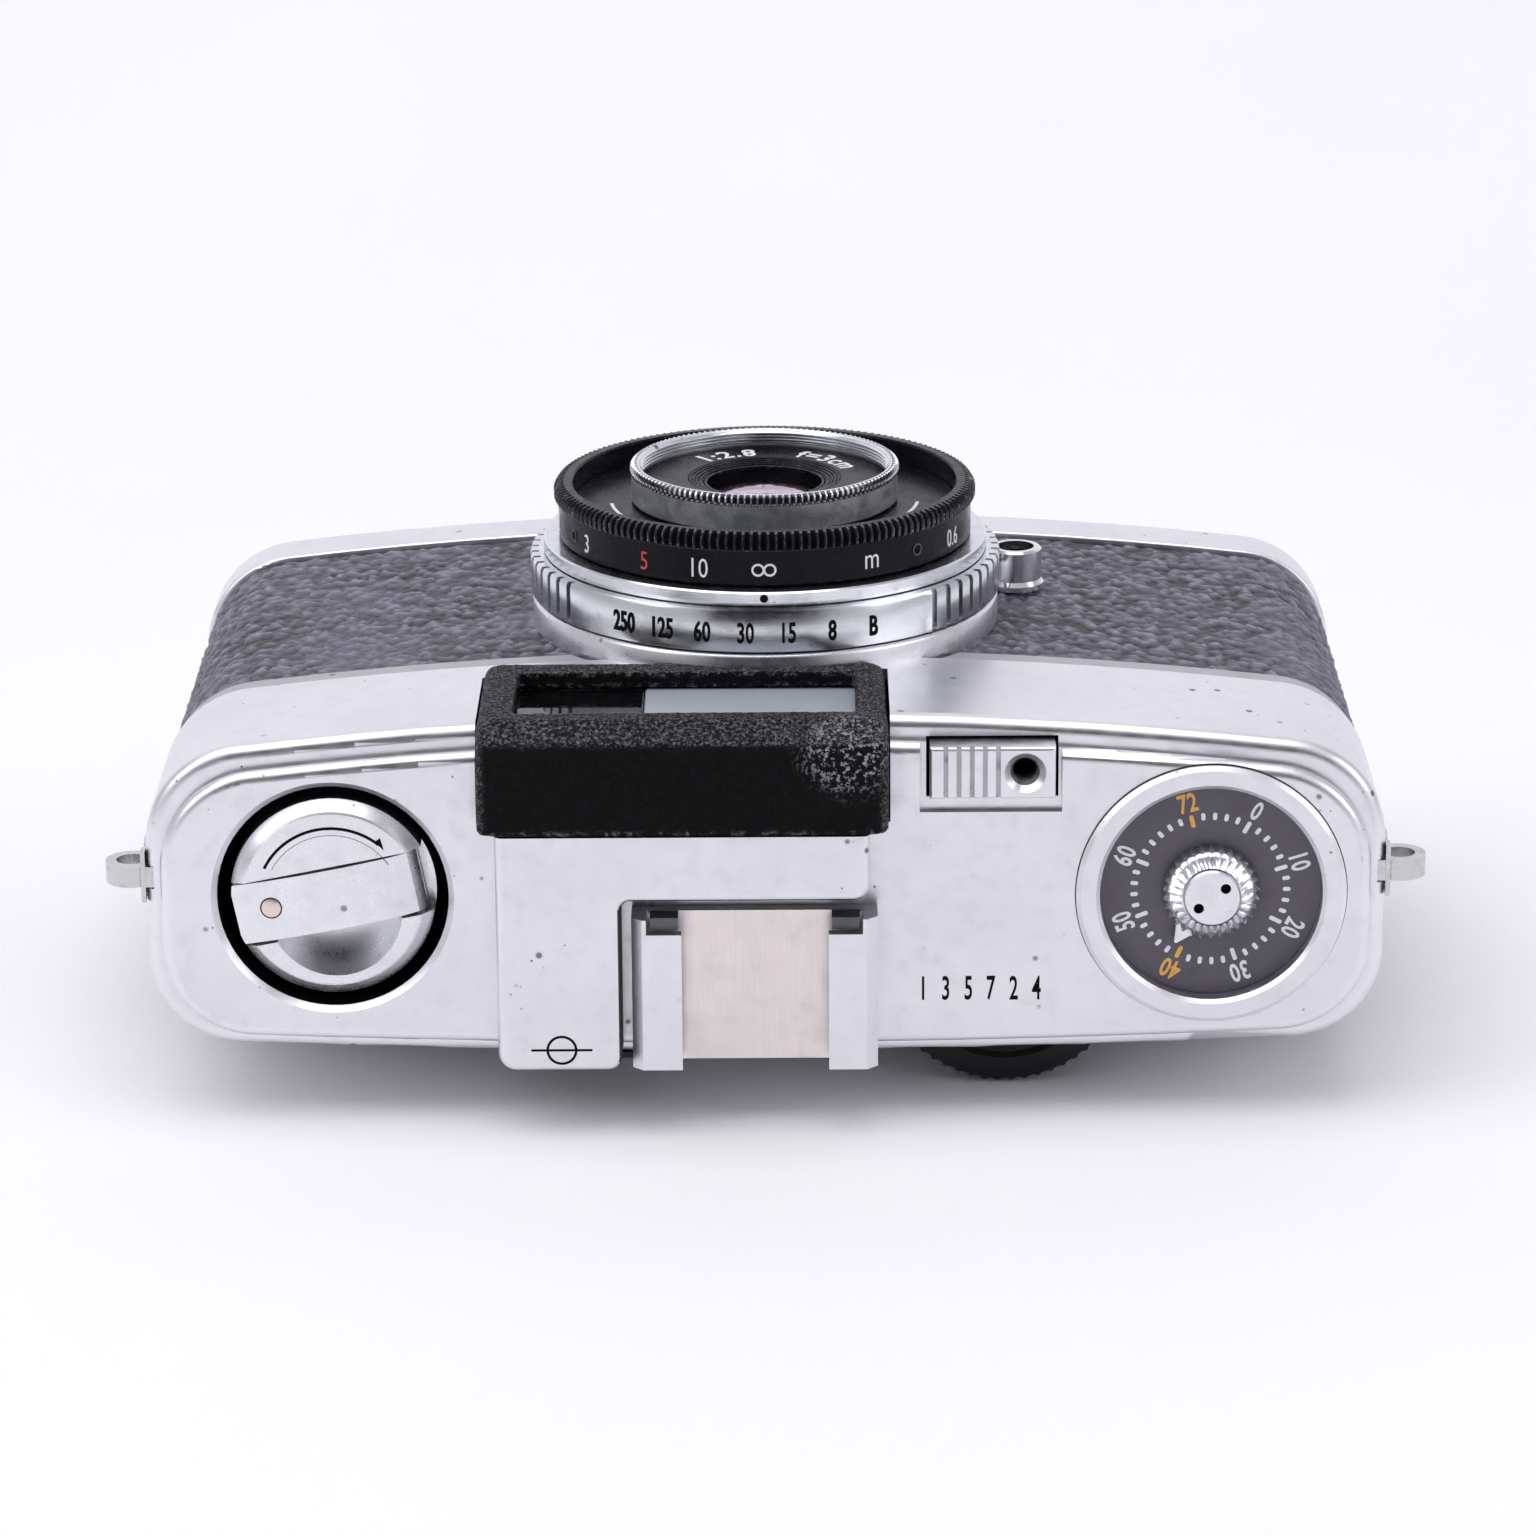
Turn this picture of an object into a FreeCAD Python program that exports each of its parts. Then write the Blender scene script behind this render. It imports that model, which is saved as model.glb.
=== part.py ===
import FreeCAD, Part
import math
import os
import Sketcher
from FreeCAD import Vector, Placement, Rotation

# Half frame viewfinder camera, in millimetres.  +Z is up through the top plate, the lens looks
# along -Y and +X is the rewind side.  The origin is on the axis of the tripod socket, at the
# underside and at mid depth of the body.

doc = FreeCAD.newDocument("half_frame_camera")

# ---- driving dimensions: alias, value, note ---------------------------------
DIMENSIONS = [
    ("half_width", 53.5, "half the width over the covers"),
    ("front_y", 15.5, "front face at the middle"),
    ("rear_y", 15.5, "rear face at the middle"),
    ("front_bow", 385.0, "radius of the bowed front"),
    ("rear_bow", 1000.0, "radius of the bowed rear"),
    ("corner_front", 9.0, "front corner radius"),
    ("corner_rear", 8.0, "rear corner radius"),
    ("base_top", 6.4, "top edge of the base pan"),
    ("base_floor", 2.4, "inside floor of the base pan"),
    ("lip_bottom", 45.4, "under side of the body rim"),
    ("cover_bottom", 48.3, "lower edge of the top cover"),
    ("shoulder_z", 65.5, "step below the plateau"),
    ("plateau_z", 67.0, "top plate plateau"),
    ("hump_z", 71.0, "top of the finder hump"),
    ("plateau_front", 13.5, "front edge of the plateau"),
    ("plateau_rear", 14.2, "rear edge of the plateau"),
    ("plateau_half", 52.2, "half width of the plateau"),
    ("cover_wall", 1.0, "sheet thickness of the top cover"),
    ("leather_out", 0.4, "outer face of the covering below the outline"),
    ("leather_in", 0.8, "inner face of the covering"),
    ("back_in", 1.45, "inner face of the back"),
    ("casting_in", 1.55, "casting behind the split line"),
    ("split_y", 5.0, "split line between body and back"),
    ("film_y", 13.0, "film plane"),
    ("lens_z", 32.4, "height of the lens axis"),
    ("gate_wide", 18.0, "picture width"),
    ("gate_tall", 24.0, "picture height"),
    ("deck_low", 50.8, "under side of the casting deck"),
    ("deck_top", 51.9, "top of the casting deck"),
    ("chamber_floor", 8.6, "floor of the film chambers"),
    ("casting_low", 6.6, "under side of the casting"),
    ("rewind_x", 37.3, "rewind axis"),
    ("rewind_y", 0.4, "rewind axis"),
    ("cassette_bore", 12.6, "cassette chamber radius"),
    ("dome_r", 13.0, "radius of the dome over the cassette"),
    ("dome_top", 55.5, "top of the dome over the cassette"),
    ("fork_r", 2.4, "rewind shaft radius"),
    ("disc_r", 8.85, "rewind disc radius"),
    ("well_r", 10.0, "well in the top cover"),
    ("disc_top", 67.3, "top of the rewind disc"),
    ("crank_angle", 11.06, "lie of the folded crank"),
    ("counter_x", -38.4, "counter and take-up axis"),
    ("counter_y", 0.4, "counter and take-up axis"),
    ("takeup_bore", 12.4, "take-up chamber radius"),
    ("bezel_out", 11.65, "counter ring outside"),
    ("bezel_in", 9.6, "counter ring inside"),
    ("counter_knob_r", 4.25, "counter setting knob"),
    ("sprocket_x", -18.0, "sprocket axis"),
    ("sprocket_y", 6.9, "sprocket axis"),
    ("wheel_x", -21.0, "advance wheel axis"),
    ("wheel_y", 10.0, "advance wheel axis"),
    ("wheel_r", 11.0, "advance wheel radius"),
    ("wheel_low", 55.0, "advance wheel, lower face"),
    ("wheel_top", 58.2, "advance wheel, upper face"),
    ("gear_module", 0.4, "module of the drive gears"),
    ("button_x0", -24.9, "release button, take-up side"),
    ("button_x1", -14.15, "release button, finder side"),
    ("button_y0", -13.2, "release button, front"),
    ("button_y1", -8.6, "release button, rear"),
    ("button_top", 68.0, "release button, top"),
    ("cable_x", -22.3, "cable release socket"),
    ("cable_y", -10.9, "cable release socket"),
    ("cable_r", 1.25, "cable release socket radius"),
    ("finder_x0", -10.6, "finder frame, take-up side"),
    ("finder_x1", 24.6, "finder frame, rewind side"),
    ("finder_front", 16.0, "finder frame, front face"),
    ("finder_rear", 6.4, "finder frame, rear edge"),
    ("finder_low", 52.0, "finder frame, lower edge"),
    ("window_x0", -7.84, "finder window opening"),
    ("window_x1", 21.55, "finder window opening"),
    ("window_z0", 54.6, "finder window opening"),
    ("window_z1", 66.2, "finder window opening"),
    ("hump_x0", -9.0, "hump, take-up side"),
    ("hump_x1", 23.1, "hump, rewind side"),
    ("hump_leg", 12.4, "inner side of the hump leg"),
    ("hump_bar", 0.36, "rear of the hump bar"),
    ("shoe_x0", -9.64, "accessory shoe, take-up side"),
    ("shoe_x1", 11.5, "accessory shoe, rewind side"),
    ("shoe_y0", 1.2, "accessory shoe, front"),
    ("shoe_y1", 14.9, "accessory shoe, rear"),
    ("shoe_wall", 1.27, "accessory shoe side wall"),
    ("flange_r", 21.5, "lens flange radius"),
    ("speed_r", 21.0, "shutter speed ring radius"),
    ("index_r", 20.0, "index ring radius"),
    ("focus_r", 18.8, "focus ring radius"),
    ("aperture_r", 12.0, "aperture ring radius"),
    ("filter_r", 11.25, "filter thread radius"),
    ("lens_front", 29.02, "front of the aperture ring"),
    ("lug_x", 54.9, "strap lug hole"),
    ("lug_z", 63.0, "strap lug hole"),
    ("lug_hole", 1.37, "strap lug hole radius"),
    ("lug_out", 2.3, "strap lug outside radius"),
    ("sync_x", -23.0, "flash socket"),
    ("sync_z", 24.0, "flash socket"),
    ("tripod_r", 3.175, "quarter inch tripod thread"),
    ("tripod_depth", 5.3, "tripod thread depth"),
]


class Expr:
    """A number that remembers the sheet expression it came from."""

    def __init__(self, value, text=None):
        self.value = float(value)
        self.text = text or repr(self.value)

    @staticmethod
    def of(x):
        return x if isinstance(x, Expr) else Expr(x)

    def __add__(self, other):
        other = Expr.of(other)
        return Expr(self.value + other.value, f"({self.text} + {other.text})")

    def __sub__(self, other):
        other = Expr.of(other)
        return Expr(self.value - other.value, f"({self.text} - {other.text})")

    def __mul__(self, other):
        other = Expr.of(other)
        return Expr(self.value * other.value, f"({self.text} * {other.text})")

    def __truediv__(self, other):
        other = Expr.of(other)
        return Expr(self.value / other.value, f"({self.text} / {other.text})")

    def __neg__(self):
        return Expr(-self.value, f"(0 - {self.text})")


class Dimensions:
    """Holds every sheet dimension as an attribute named by its alias."""


def root(x):
    return Expr(math.sqrt(x.value), f"sqrt({x.text})")


def number(x):
    return Expr.of(x).value


def plain(point):
    return [number(value) for value in point]


sheet = doc.addObject("Spreadsheet::Sheet", "Params")
dim = Dimensions()


def add_dimension(alias, value, note):
    row = len(vars(dim)) + 1
    sheet.set(f"A{row}", str(value))
    sheet.setAlias(f"A{row}", alias)
    sheet.set(f"B{row}", note)
    setattr(dim, alias, Expr(value, "Params." + alias))


for entry in DIMENSIONS:
    add_dimension(*entry)

# Teeth of the drive gears.  The idler meshes with the advance wheel gear and the sprocket gear.
WHEEL_TEETH, IDLER_TEETH, SPROCKET_TEETH, SPOOL_TEETH = 18, 25, 15, 45
RATCHET_TEETH = 82


def idler_centre():
    """Where the pitch circles of the idler touch those of the sprocket and wheel gears."""
    half_module = number(dim.gear_module) / 2
    to_wheel = half_module * (WHEEL_TEETH + IDLER_TEETH)
    to_sprocket = half_module * (SPROCKET_TEETH + IDLER_TEETH)
    start_x, start_y = plain((dim.sprocket_x, dim.sprocket_y))
    span_x, span_y = number(dim.wheel_x) - start_x, number(dim.wheel_y) - start_y
    span = math.hypot(span_x, span_y)
    unit_x, unit_y = span_x / span, span_y / span
    along = (to_sprocket ** 2 - to_wheel ** 2 + span * span) / (2 * span)
    aside = math.sqrt(to_sprocket ** 2 - along * along)
    return (start_x + along * unit_x - aside * unit_y,
            start_y + along * unit_y + aside * unit_x)


for alias, value in zip(("idler_x", "idler_y"), idler_centre()):
    add_dimension(alias, round(value, 4), "idler gear axis, from the gear train")
doc.recompute()

# Axes shared by several pieces, as x, y (the flash socket as x, z).
REWIND = (dim.rewind_x, dim.rewind_y)
COUNTER = (dim.counter_x, dim.counter_y)
SPROCKET = (dim.sprocket_x, dim.sprocket_y)
WHEEL = (dim.wheel_x, dim.wheel_y)
IDLER = (dim.idler_x, dim.idler_y)
CABLE = (dim.cable_x, dim.cable_y)
SYNC = (dim.sync_x, dim.sync_z)
RELEASE_ROD = (-19.5, -10.9)
SHOE_SCREWS = ((6.4, 4.5), (-4.5, 4.5), (6.4, 11.6), (-4.5, 11.6))
COVER_SCREW_X, COVER_SCREW_Z = 45.0, 50.4
SCREW_HOLE_R = 0.98

# Plan outlines as front edge, half width, rear edge.
BODY_EDGE = (dim.front_y, dim.half_width, dim.rear_y)
PLATEAU_EDGE = (dim.plateau_front, dim.plateau_half, dim.plateau_rear)

# Sketch planes.  TOP faces +Z, FRONT faces -Y with x, z as its axes (a shift of 5 lies at
# y = -5), SIDE faces +X with y, z as its axes.
TOP, FRONT, SIDE = "XY_Plane", "XZ_Plane", "YZ_Plane"

UPRIGHT = Rotation()
ALONG_Y = Rotation(Vector(1, 0, 0), -90)


def bind(obj, prop, x):
    if isinstance(x, Expr):
        obj.setExpression(prop, x.text)


def set_length(obj, prop, x):
    setattr(obj, prop, number(x))
    bind(obj, prop, x)


pieces = {}


def keep(label, obj):
    """Label a finished piece and list it for export."""
    obj.Label = label
    pieces[label] = obj


def place(obj, x, y, z=0, turn=UPRIGHT):
    obj.Placement = Placement(Vector(*plain((x, y, z))), turn)
    for axis, value in (("x", x), ("y", y), ("z", z)):
        bind(obj, "Placement.Base." + axis, value)
    return obj


# ---- profiles: each returns a function that draws on a new sketch -----------
def pin(sketch, geometry, position, x, y):
    """Fix a point from the sketch origin; a plain zero puts it on the axis instead."""
    for kind, value, axis in (("DistanceX", x, -2), ("DistanceY", y, -1)):
        if not isinstance(value, Expr) and abs(value) < 1e-9:
            sketch.addConstraint(
                Sketcher.Constraint("PointOnObject", geometry, position, axis))
        else:
            index = sketch.addConstraint(
                Sketcher.Constraint(kind, -1, 1, geometry, position, number(value)))
            bind(sketch, f"Constraints[{index}]", value)


def pin_radius(sketch, geometry, radius):
    index = sketch.addConstraint(Sketcher.Constraint("Radius", geometry, number(radius)))
    bind(sketch, f"Constraints[{index}]", radius)


def path(vertices, arcs):
    """Closed path of lines and arcs.  arcs maps the number of an edge to the centre x, centre y
    and radius of its arc, which spans less than half a turn."""
    def draw(sketch):
        count = len(vertices)
        ends = []
        for i in range(count):
            start = Vector(*plain(vertices[i]), 0)
            end = Vector(*plain(vertices[(i + 1) % count]), 0)
            clockwise = False
            if i in arcs:
                centre = Vector(*plain(arcs[i][:2]), 0)
                first, last = start - centre, end - centre
                clockwise = first.x * last.y - first.y * last.x < 0
                if clockwise:
                    first, last = last, first
                angle0 = math.atan2(first.y, first.x)
                angle1 = math.atan2(last.y, last.x)
                if angle1 < angle0:
                    angle1 += 2 * math.pi
                ring = Part.Circle(centre, Vector(0, 0, 1), number(arcs[i][2]))
                sketch.addGeometry(Part.ArcOfCircle(ring, angle0, angle1), False)
            else:
                sketch.addGeometry(Part.LineSegment(start, end), False)
            ends.append((2, 1) if clockwise else (1, 2))
        for i in range(count):
            after = (i + 1) % count
            sketch.addConstraint(
                Sketcher.Constraint("Coincident", i, ends[i][1], after, ends[after][0]))
        for i in range(count):
            pin(sketch, i, ends[i][0], *vertices[i])
            if i in arcs:
                pin_radius(sketch, i, arcs[i][2])
    return draw


def poly(points):
    return path(points, {})


def rect(x0, y0, x1, y1):
    return poly([(x0, y0), (x1, y0), (x1, y1), (x0, y1)])


def circles(*items):
    """Circles given as x, y, radius."""
    def draw(sketch):
        for x, y, radius in items:
            ring = Part.Circle(Vector(*plain((x, y)), 0), Vector(0, 0, 1), number(radius))
            geometry = sketch.addGeometry(ring, False)
            pin(sketch, geometry, 3, x, y)
            pin_radius(sketch, geometry, radius)
    return draw


def circle(x, y, radius):
    return circles((x, y, radius))


def shoe_screw_circles(radius):
    return circles(*((x, y, radius) for x, y in SHOE_SCREWS))


def heading(start, end):
    """Unit step from start to end, along x or y."""
    step_x, step_y = number(end[0]) - number(start[0]), number(end[1]) - number(start[1])
    length = math.hypot(step_x, step_y)
    return round(step_x / length), round(step_y / length)


def rounded(points, radii):
    """Outline of lines along x and y, its corners rounded where the radius is not zero."""
    vertices, arcs = [], {}
    for i, (x, y) in enumerate(points):
        radius = radii[i]
        into = heading(points[i - 1], points[i])
        away = heading(points[i], points[(i + 1) % len(points)])
        if radius:
            start = (x - radius * into[0], y - radius * into[1])
            arcs[len(vertices)] = (start[0] + radius * away[0], start[1] + radius * away[1],
                                   radius)
            vertices.append(start)
        vertices.append((x + radius * away[0], y + radius * away[1]))
    return path(vertices, arcs)


def bowed_side(side, depth, half, bow, corner, inset):
    """One bowed side of the plan, side -1 at the front and 1 at the rear: centre y of the bow,
    centre of the +X corner, and the point where bow and corner meet."""
    centre_y = (depth - bow) * side
    corner_x = half - corner
    reach = bow - corner
    rise = root(reach * reach - corner_x * corner_x) * side
    scale = (bow - inset) / reach
    return (centre_y, (corner_x, centre_y + rise),
            (corner_x * scale, centre_y + rise * scale))


def outline(inset, edge=BODY_EDGE):
    """Rounded plan outline with a bowed front and rear, moved in by inset."""
    front, half, rear = edge
    front_bow, rear_bow = dim.front_bow, dim.rear_bow
    front_corner, rear_corner = dim.corner_front, dim.corner_rear
    front_y, (fx, fy), (ax, ay) = bowed_side(-1, front, half, front_bow, front_corner, inset)
    rear_y, (rx, ry), (bx, by) = bowed_side(1, rear, half, rear_bow, rear_corner, inset)
    side_x = half - inset
    vertices = [(ax, ay), (side_x, fy), (side_x, ry), (bx, by),
                (-bx, by), (-side_x, ry), (-side_x, fy), (-ax, ay)]
    front_r, rear_r = front_corner - inset, rear_corner - inset
    arcs = {0: (fx, fy, front_r), 2: (rx, ry, rear_r), 3: (0, rear_y, rear_bow - inset),
            4: (-rx, ry, rear_r), 6: (-fx, fy, front_r), 7: (0, front_y, front_bow - inset)}
    return path(vertices, arcs)


# ---- features of a body -----------------------------------------------------
def new_body(name):
    return doc.addObject("PartDesign::Body", name)


def origin_feature(body, role):
    return [item for item in body.Origin.OriginFeatures if item.Role == role][0]


def new_sketch(body, name, plane, shift, profile):
    sketch = body.newObject("Sketcher::SketchObject", f"{body.Name}_{name}")
    sketch.AttachmentSupport = [(origin_feature(body, plane), "")]
    sketch.MapMode = "FlatFace"
    sketch.AttachmentOffset = Placement(Vector(0, 0, number(shift)), Rotation())
    bind(sketch, "AttachmentOffset.Base.z", shift)
    profile(sketch)
    return sketch


def pad(body, name, plane, shift, profile, length):
    sketch = new_sketch(body, name, plane, shift, profile)
    feature = body.newObject("PartDesign::Pad", f"{body.Name}_{name}")
    feature.Profile = sketch
    set_length(feature, "Length", length)
    return feature


def pocket(body, name, plane, shift, profile, length, along=True):
    """Cuts along the sketch normal, or against it when along is False."""
    sketch = new_sketch(body, name, plane, shift, profile)
    doc.recompute()
    before = body.Shape.Volume
    feature = body.newObject("PartDesign::Pocket", f"{body.Name}_{name}")
    feature.Profile = sketch
    set_length(feature, "Length", length)
    feature.Reversed = along
    doc.recompute()
    if not body.Shape.Volume < before - 1e-6:
        raise RuntimeError(f"pocket cut nothing: {body.Name} {name}")
    return feature


def turned(name, plane, axis, points):
    body = new_body(name)
    sketch = new_sketch(body, "Sketch", plane, 0, poly(points))
    feature = body.newObject("PartDesign::Revolution", name + "_Revolution")
    feature.Profile = sketch
    feature.ReferenceAxis = (sketch, [axis])
    feature.Angle = 360.0
    return body


def turned_z(name, points, x=0, y=0):
    """A body turned about a vertical axis from (radius, height) points."""
    return place(turned(name, FRONT, "V_Axis", points), x, y)


def turned_y(name, points, x=0, z=dim.lens_z):
    """A body turned about an axis along y, the lens axis by default, from (y, radius) points."""
    return place(turned(name, SIDE, "H_Axis", points), x, 0, z)


def fillet(body, feature, name, test, size, kind="Fillet"):
    """Rounds, or bevels as a Chamfer, the edges whose bounding box passes the test."""
    doc.recompute()
    found = [f"Edge{i}" for i, edge in enumerate(feature.Shape.Edges, start=1)
             if test(edge.BoundBox)]
    if not found:
        raise RuntimeError(f"no edges for {body.Name} {name}")
    dressed = body.newObject("PartDesign::" + kind, f"{body.Name}_{name}")
    dressed.Base = (feature, found)
    set_length(dressed, "Radius" if kind == "Fillet" else "Size", size)
    doc.recompute()
    # guards against an edge treatment that the kernel cannot build: the edges stay sharp
    if ("Invalid" in dressed.State or "Error" in dressed.State
            or dressed.Shape.isNull() or not dressed.Shape.isValid()):
        print("edge treatment dropped:", body.Name, name)
        body.removeObject(dressed)
        doc.removeObject(dressed.Name)
        body.Tip = feature
        doc.recompute()
        return feature
    return dressed


def at_z(z):
    """Edge test: lies flat at height z."""
    height = number(z)
    return lambda edge: abs(edge.ZMin - height) < 0.01 and abs(edge.ZMax - height) < 0.01


def polar(body, feature, count, axis="Z_Axis", name="Pattern", angle=360.0):
    pattern = body.newObject("PartDesign::PolarPattern", f"{body.Name}_{name}")
    pattern.Originals = [feature]
    pattern.Axis = (origin_feature(body, axis), [""])
    pattern.Angle = angle
    pattern.Occurrences = count
    body.Tip = pattern
    doc.recompute()


# ---- plain solids and booleans ----------------------------------------------
def box(name, x0, y0, z0, x1, y1, z1):
    solid = doc.addObject("Part::Box", name)
    set_length(solid, "Length", Expr.of(x1) - x0)
    set_length(solid, "Width", Expr.of(y1) - y0)
    set_length(solid, "Height", Expr.of(z1) - z0)
    return place(solid, x0, y0, z0)


def rod(name, x, y, z, radius, length, turn=UPRIGHT):
    solid = doc.addObject("Part::Cylinder", name)
    set_length(solid, "Radius", radius)
    set_length(solid, "Height", length)
    return place(solid, x, y, z, turn)


def cut(name, base, tool):
    result = doc.addObject("Part::Cut", name)
    result.Base = base
    result.Tool = tool
    return result


def fuse(name, *shapes):
    result = doc.addObject("Part::MultiFuse", name)
    result.Shapes = list(shapes)
    return result


def common(name, *shapes):
    result = doc.addObject("Part::MultiCommon", name)
    result.Shapes = list(shapes)
    return result


def slotted_screw(number_in_set, prefix, head, shank, slot):
    raw = fuse(f"{prefix}_raw{number_in_set}", head, shank)
    return cut(f"{prefix}_screw{number_in_set}", raw, slot)


# ---- body casting -----------------------------------------------------------
casting = new_body("casting")
low = dim.casting_low
pad(casting, "front_shell", TOP, low, outline(dim.leather_in + 0.02), dim.lip_bottom - low)
# behind the split line the casting stands in, to leave room for the back
pocket(casting, "split", TOP, low, rect(-60, dim.split_y - 0.1, 60, 20), dim.lip_bottom - low)
pad(casting, "core", TOP, low, outline(dim.casting_in), dim.deck_top - low)
pad(casting, "rim", TOP, dim.lip_bottom, outline(0.3), dim.cover_bottom - 0.1 - dim.lip_bottom)
pad(casting, "dome", TOP, dim.deck_top - 0.2, circle(*REWIND, dim.dome_r),
    dim.dome_top - dim.deck_top + 0.2)
# film path opening behind the film plane
pocket(casting, "film_path", TOP, low - 1, rect(-45.5, dim.film_y, 45.5, 13.96),
       dim.deck_low - low + 1)

# film chambers, open to the rear
mouth_y = dim.film_y + 0.1
pocket(casting, "cassette", TOP, dim.chamber_floor, circle(*REWIND, dim.cassette_bore),
       dim.dome_top - 1.1 - dim.chamber_floor)
for name, profile in (
        ("cassette_mouth", rect(dim.rewind_x - 12.2, dim.rewind_y + 3.0,
                                dim.rewind_x + 12.2, mouth_y)),
        ("takeup", circle(*COUNTER, dim.takeup_bore)),
        ("takeup_mouth", rect(-48.5, dim.counter_y + 3.0, dim.sprocket_x - 6.0, mouth_y)),
        ("sprocket", circle(*SPROCKET, 6.6)),
        ("sprocket_mouth", rect(dim.sprocket_x - 6.5, dim.sprocket_y,
                                dim.sprocket_x + 6.5, mouth_y))):
    pocket(casting, name, TOP, dim.chamber_floor, profile, dim.deck_low - dim.chamber_floor)

# lightening pockets beside the light box
pocket(casting, "core_a", TOP, low, rect(12.6, -12.0, 23.4, 11.6), 42.0)
pocket(casting, "core_b", TOP, low, rect(-24.0, -12.0, -12.6, -1.0), 42.0)

# light box, picture gate and lens seat
half_x, half_z = dim.gate_wide / 2, dim.gate_tall / 2
pocket(casting, "light_box", FRONT, -11.8,
       rect(-half_x - 1.2, dim.lens_z - half_z - 1.6,
            half_x + 1.2, dim.lens_z + half_z + 1.6), 30.0)
pocket(casting, "gate", FRONT, -11.0,
       rect(-half_x, dim.lens_z - half_z, half_x, dim.lens_z + half_z), 3.0, along=False)
LENS_SEAT_R = 21.6
pocket(casting, "lens_seat", FRONT, 13.98, circle(0, dim.lens_z, LENS_SEAT_R), 2.0)
pocket(casting, "sync", FRONT, 16.0, circle(*SYNC, 1.75), 6.0, along=False)

# bearings of sprocket, take-up shaft, cassette hub, rewind shaft and release rod
pocket(casting, "bearings", TOP, low, circles((*SPROCKET, 1.55), (*COUNTER, 1.55)),
       dim.deck_top - low + 0.5)
pocket(casting, "hub", TOP, low, circle(*REWIND, 5.2), 2.1)
pocket(casting, "rewind_hole", TOP, dim.deck_top, circle(*REWIND, dim.fork_r + 0.05), 4.0)
pocket(casting, "rod_hole", TOP, dim.deck_low - 2.5, circle(*RELEASE_ROD, 1.25), 5.0)

# latch hooks for the lock bar, in front of the key and behind it
for tag, side in (("front", -1), ("rear", 1)):
    for name, inner, height in (("foot_", 6.9, 0.8), ("post_", 9.0, 4.2)):
        y0, y1 = sorted((dim.rewind_y + side * inner, dim.rewind_y + side * 10.2), key=number)
        pad(casting, name + tag, TOP, dim.base_floor + 0.2,
            rect(dim.rewind_x - 2.5, y0, dim.rewind_x + 2.5, y1), height)

# studs for the idler and for the advance wheel
pad(casting, "idler_stud", TOP, dim.deck_top - 0.2, circle(*IDLER, 1.2), 3.12)
pad(casting, "wheel_stud_low", TOP, dim.deck_top - 0.2, circle(*WHEEL, 0.8), 1.8)
pad(casting, "wheel_stud", TOP, dim.deck_top + 1.6, circle(*WHEEL, 1.5), 5.0)
keep("body_casting", casting)


# ---- coverings --------------------------------------------------------------
def covering(name, top, cut_away):
    """Band of covering up to top, with the half inside the cut_away profile removed."""
    body = new_body(name)
    bottom = dim.base_top + 0.25
    pad(body, "outer", TOP, bottom, outline(dim.leather_out), top - bottom)
    pocket(body, "inner", TOP, bottom, outline(dim.leather_in), top - bottom)
    pocket(body, "half", TOP, bottom, cut_away, top - bottom)
    return body


front_skin = covering("front_cover_skin", dim.lip_bottom - 0.08,
                      rect(-60, dim.split_y - 0.05, 60, 25))
pocket(front_skin, "lens_hole", FRONT, 12.0, circle(0, dim.lens_z, LENS_SEAT_R), 5.0)
pocket(front_skin, "sync_hole", FRONT, 12.0, circle(*SYNC, 2.75), 5.0)
keep("front_leatherette", front_skin)

front_half = rect(-60, -25, 60, dim.split_y + 0.05)
keep("back_leatherette", covering("back_cover_skin", dim.lip_bottom - 0.35, front_half))

# ---- back with base pan -----------------------------------------------------
back = new_body("back_and_base")
pan = pad(back, "pan", TOP, 0, outline(0), dim.base_top)
pan = fillet(back, pan, "pan_edge", at_z(0), 1.2)
fillet(back, pan, "pan_lip", at_z(dim.base_top), 0.35)
pad(back, "wall", TOP, dim.base_floor + 0.4, outline(dim.leather_in + 0.02),
    dim.lip_bottom - 0.3 - dim.base_floor - 0.4)
pocket(back, "front_open", TOP, dim.base_top + 0.001, front_half, dim.lip_bottom)
pocket(back, "hollow", TOP, dim.base_floor, outline(dim.back_in), dim.lip_bottom)
# openings in the floor: tripod bush, lock key, rewind release
pocket(back, "floor_holes", TOP, -1, circles((0, 0, 6.0), (*REWIND, 2.55), (*SPROCKET, 2.6)),
       dim.base_floor + 2)
pocket(back, "key_recess", TOP, -1, circle(*REWIND, 9.3), 2.5)
keep("back_shell", back)

# blind tripod bush with a collar on the inside floor
collar_z = dim.base_floor + 0.03
keep("tripod_socket", turned_z("tripod_bush", [
    (dim.tripod_r, 0), (5.95, 0), (5.95, collar_z), (8.2, collar_z),
    (8.2, dim.base_floor + 1.0), (5.6, dim.base_floor + 1.0), (5.6, dim.tripod_depth + 0.7),
    (0, dim.tripod_depth + 0.7), (0, dim.tripod_depth), (dim.tripod_r, dim.tripod_depth)]))

pressure = new_body("pressure_plate_body")
sheet_metal = pad(pressure, "plate", FRONT, -13.72, rect(-14.0, 15.5, 14.0, 44.6), 0.6)
fillet(pressure, sheet_metal, "plate_corners", lambda edge: edge.YLength > 0.5, 1.5)
keep("pressure_plate", pressure)

leaf_spring = new_body("pressure_spring_body")
pad(leaf_spring, "leaf", FRONT, -13.92, poly([
    (-11.5, 28.6), (-4.0, 26.4), (4.0, 26.4), (11.5, 28.6),
    (11.5, 36.2), (4.0, 38.4), (-4.0, 38.4), (-11.5, 36.2)]), 0.18)
keep("pressure_spring", leaf_spring)

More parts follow.
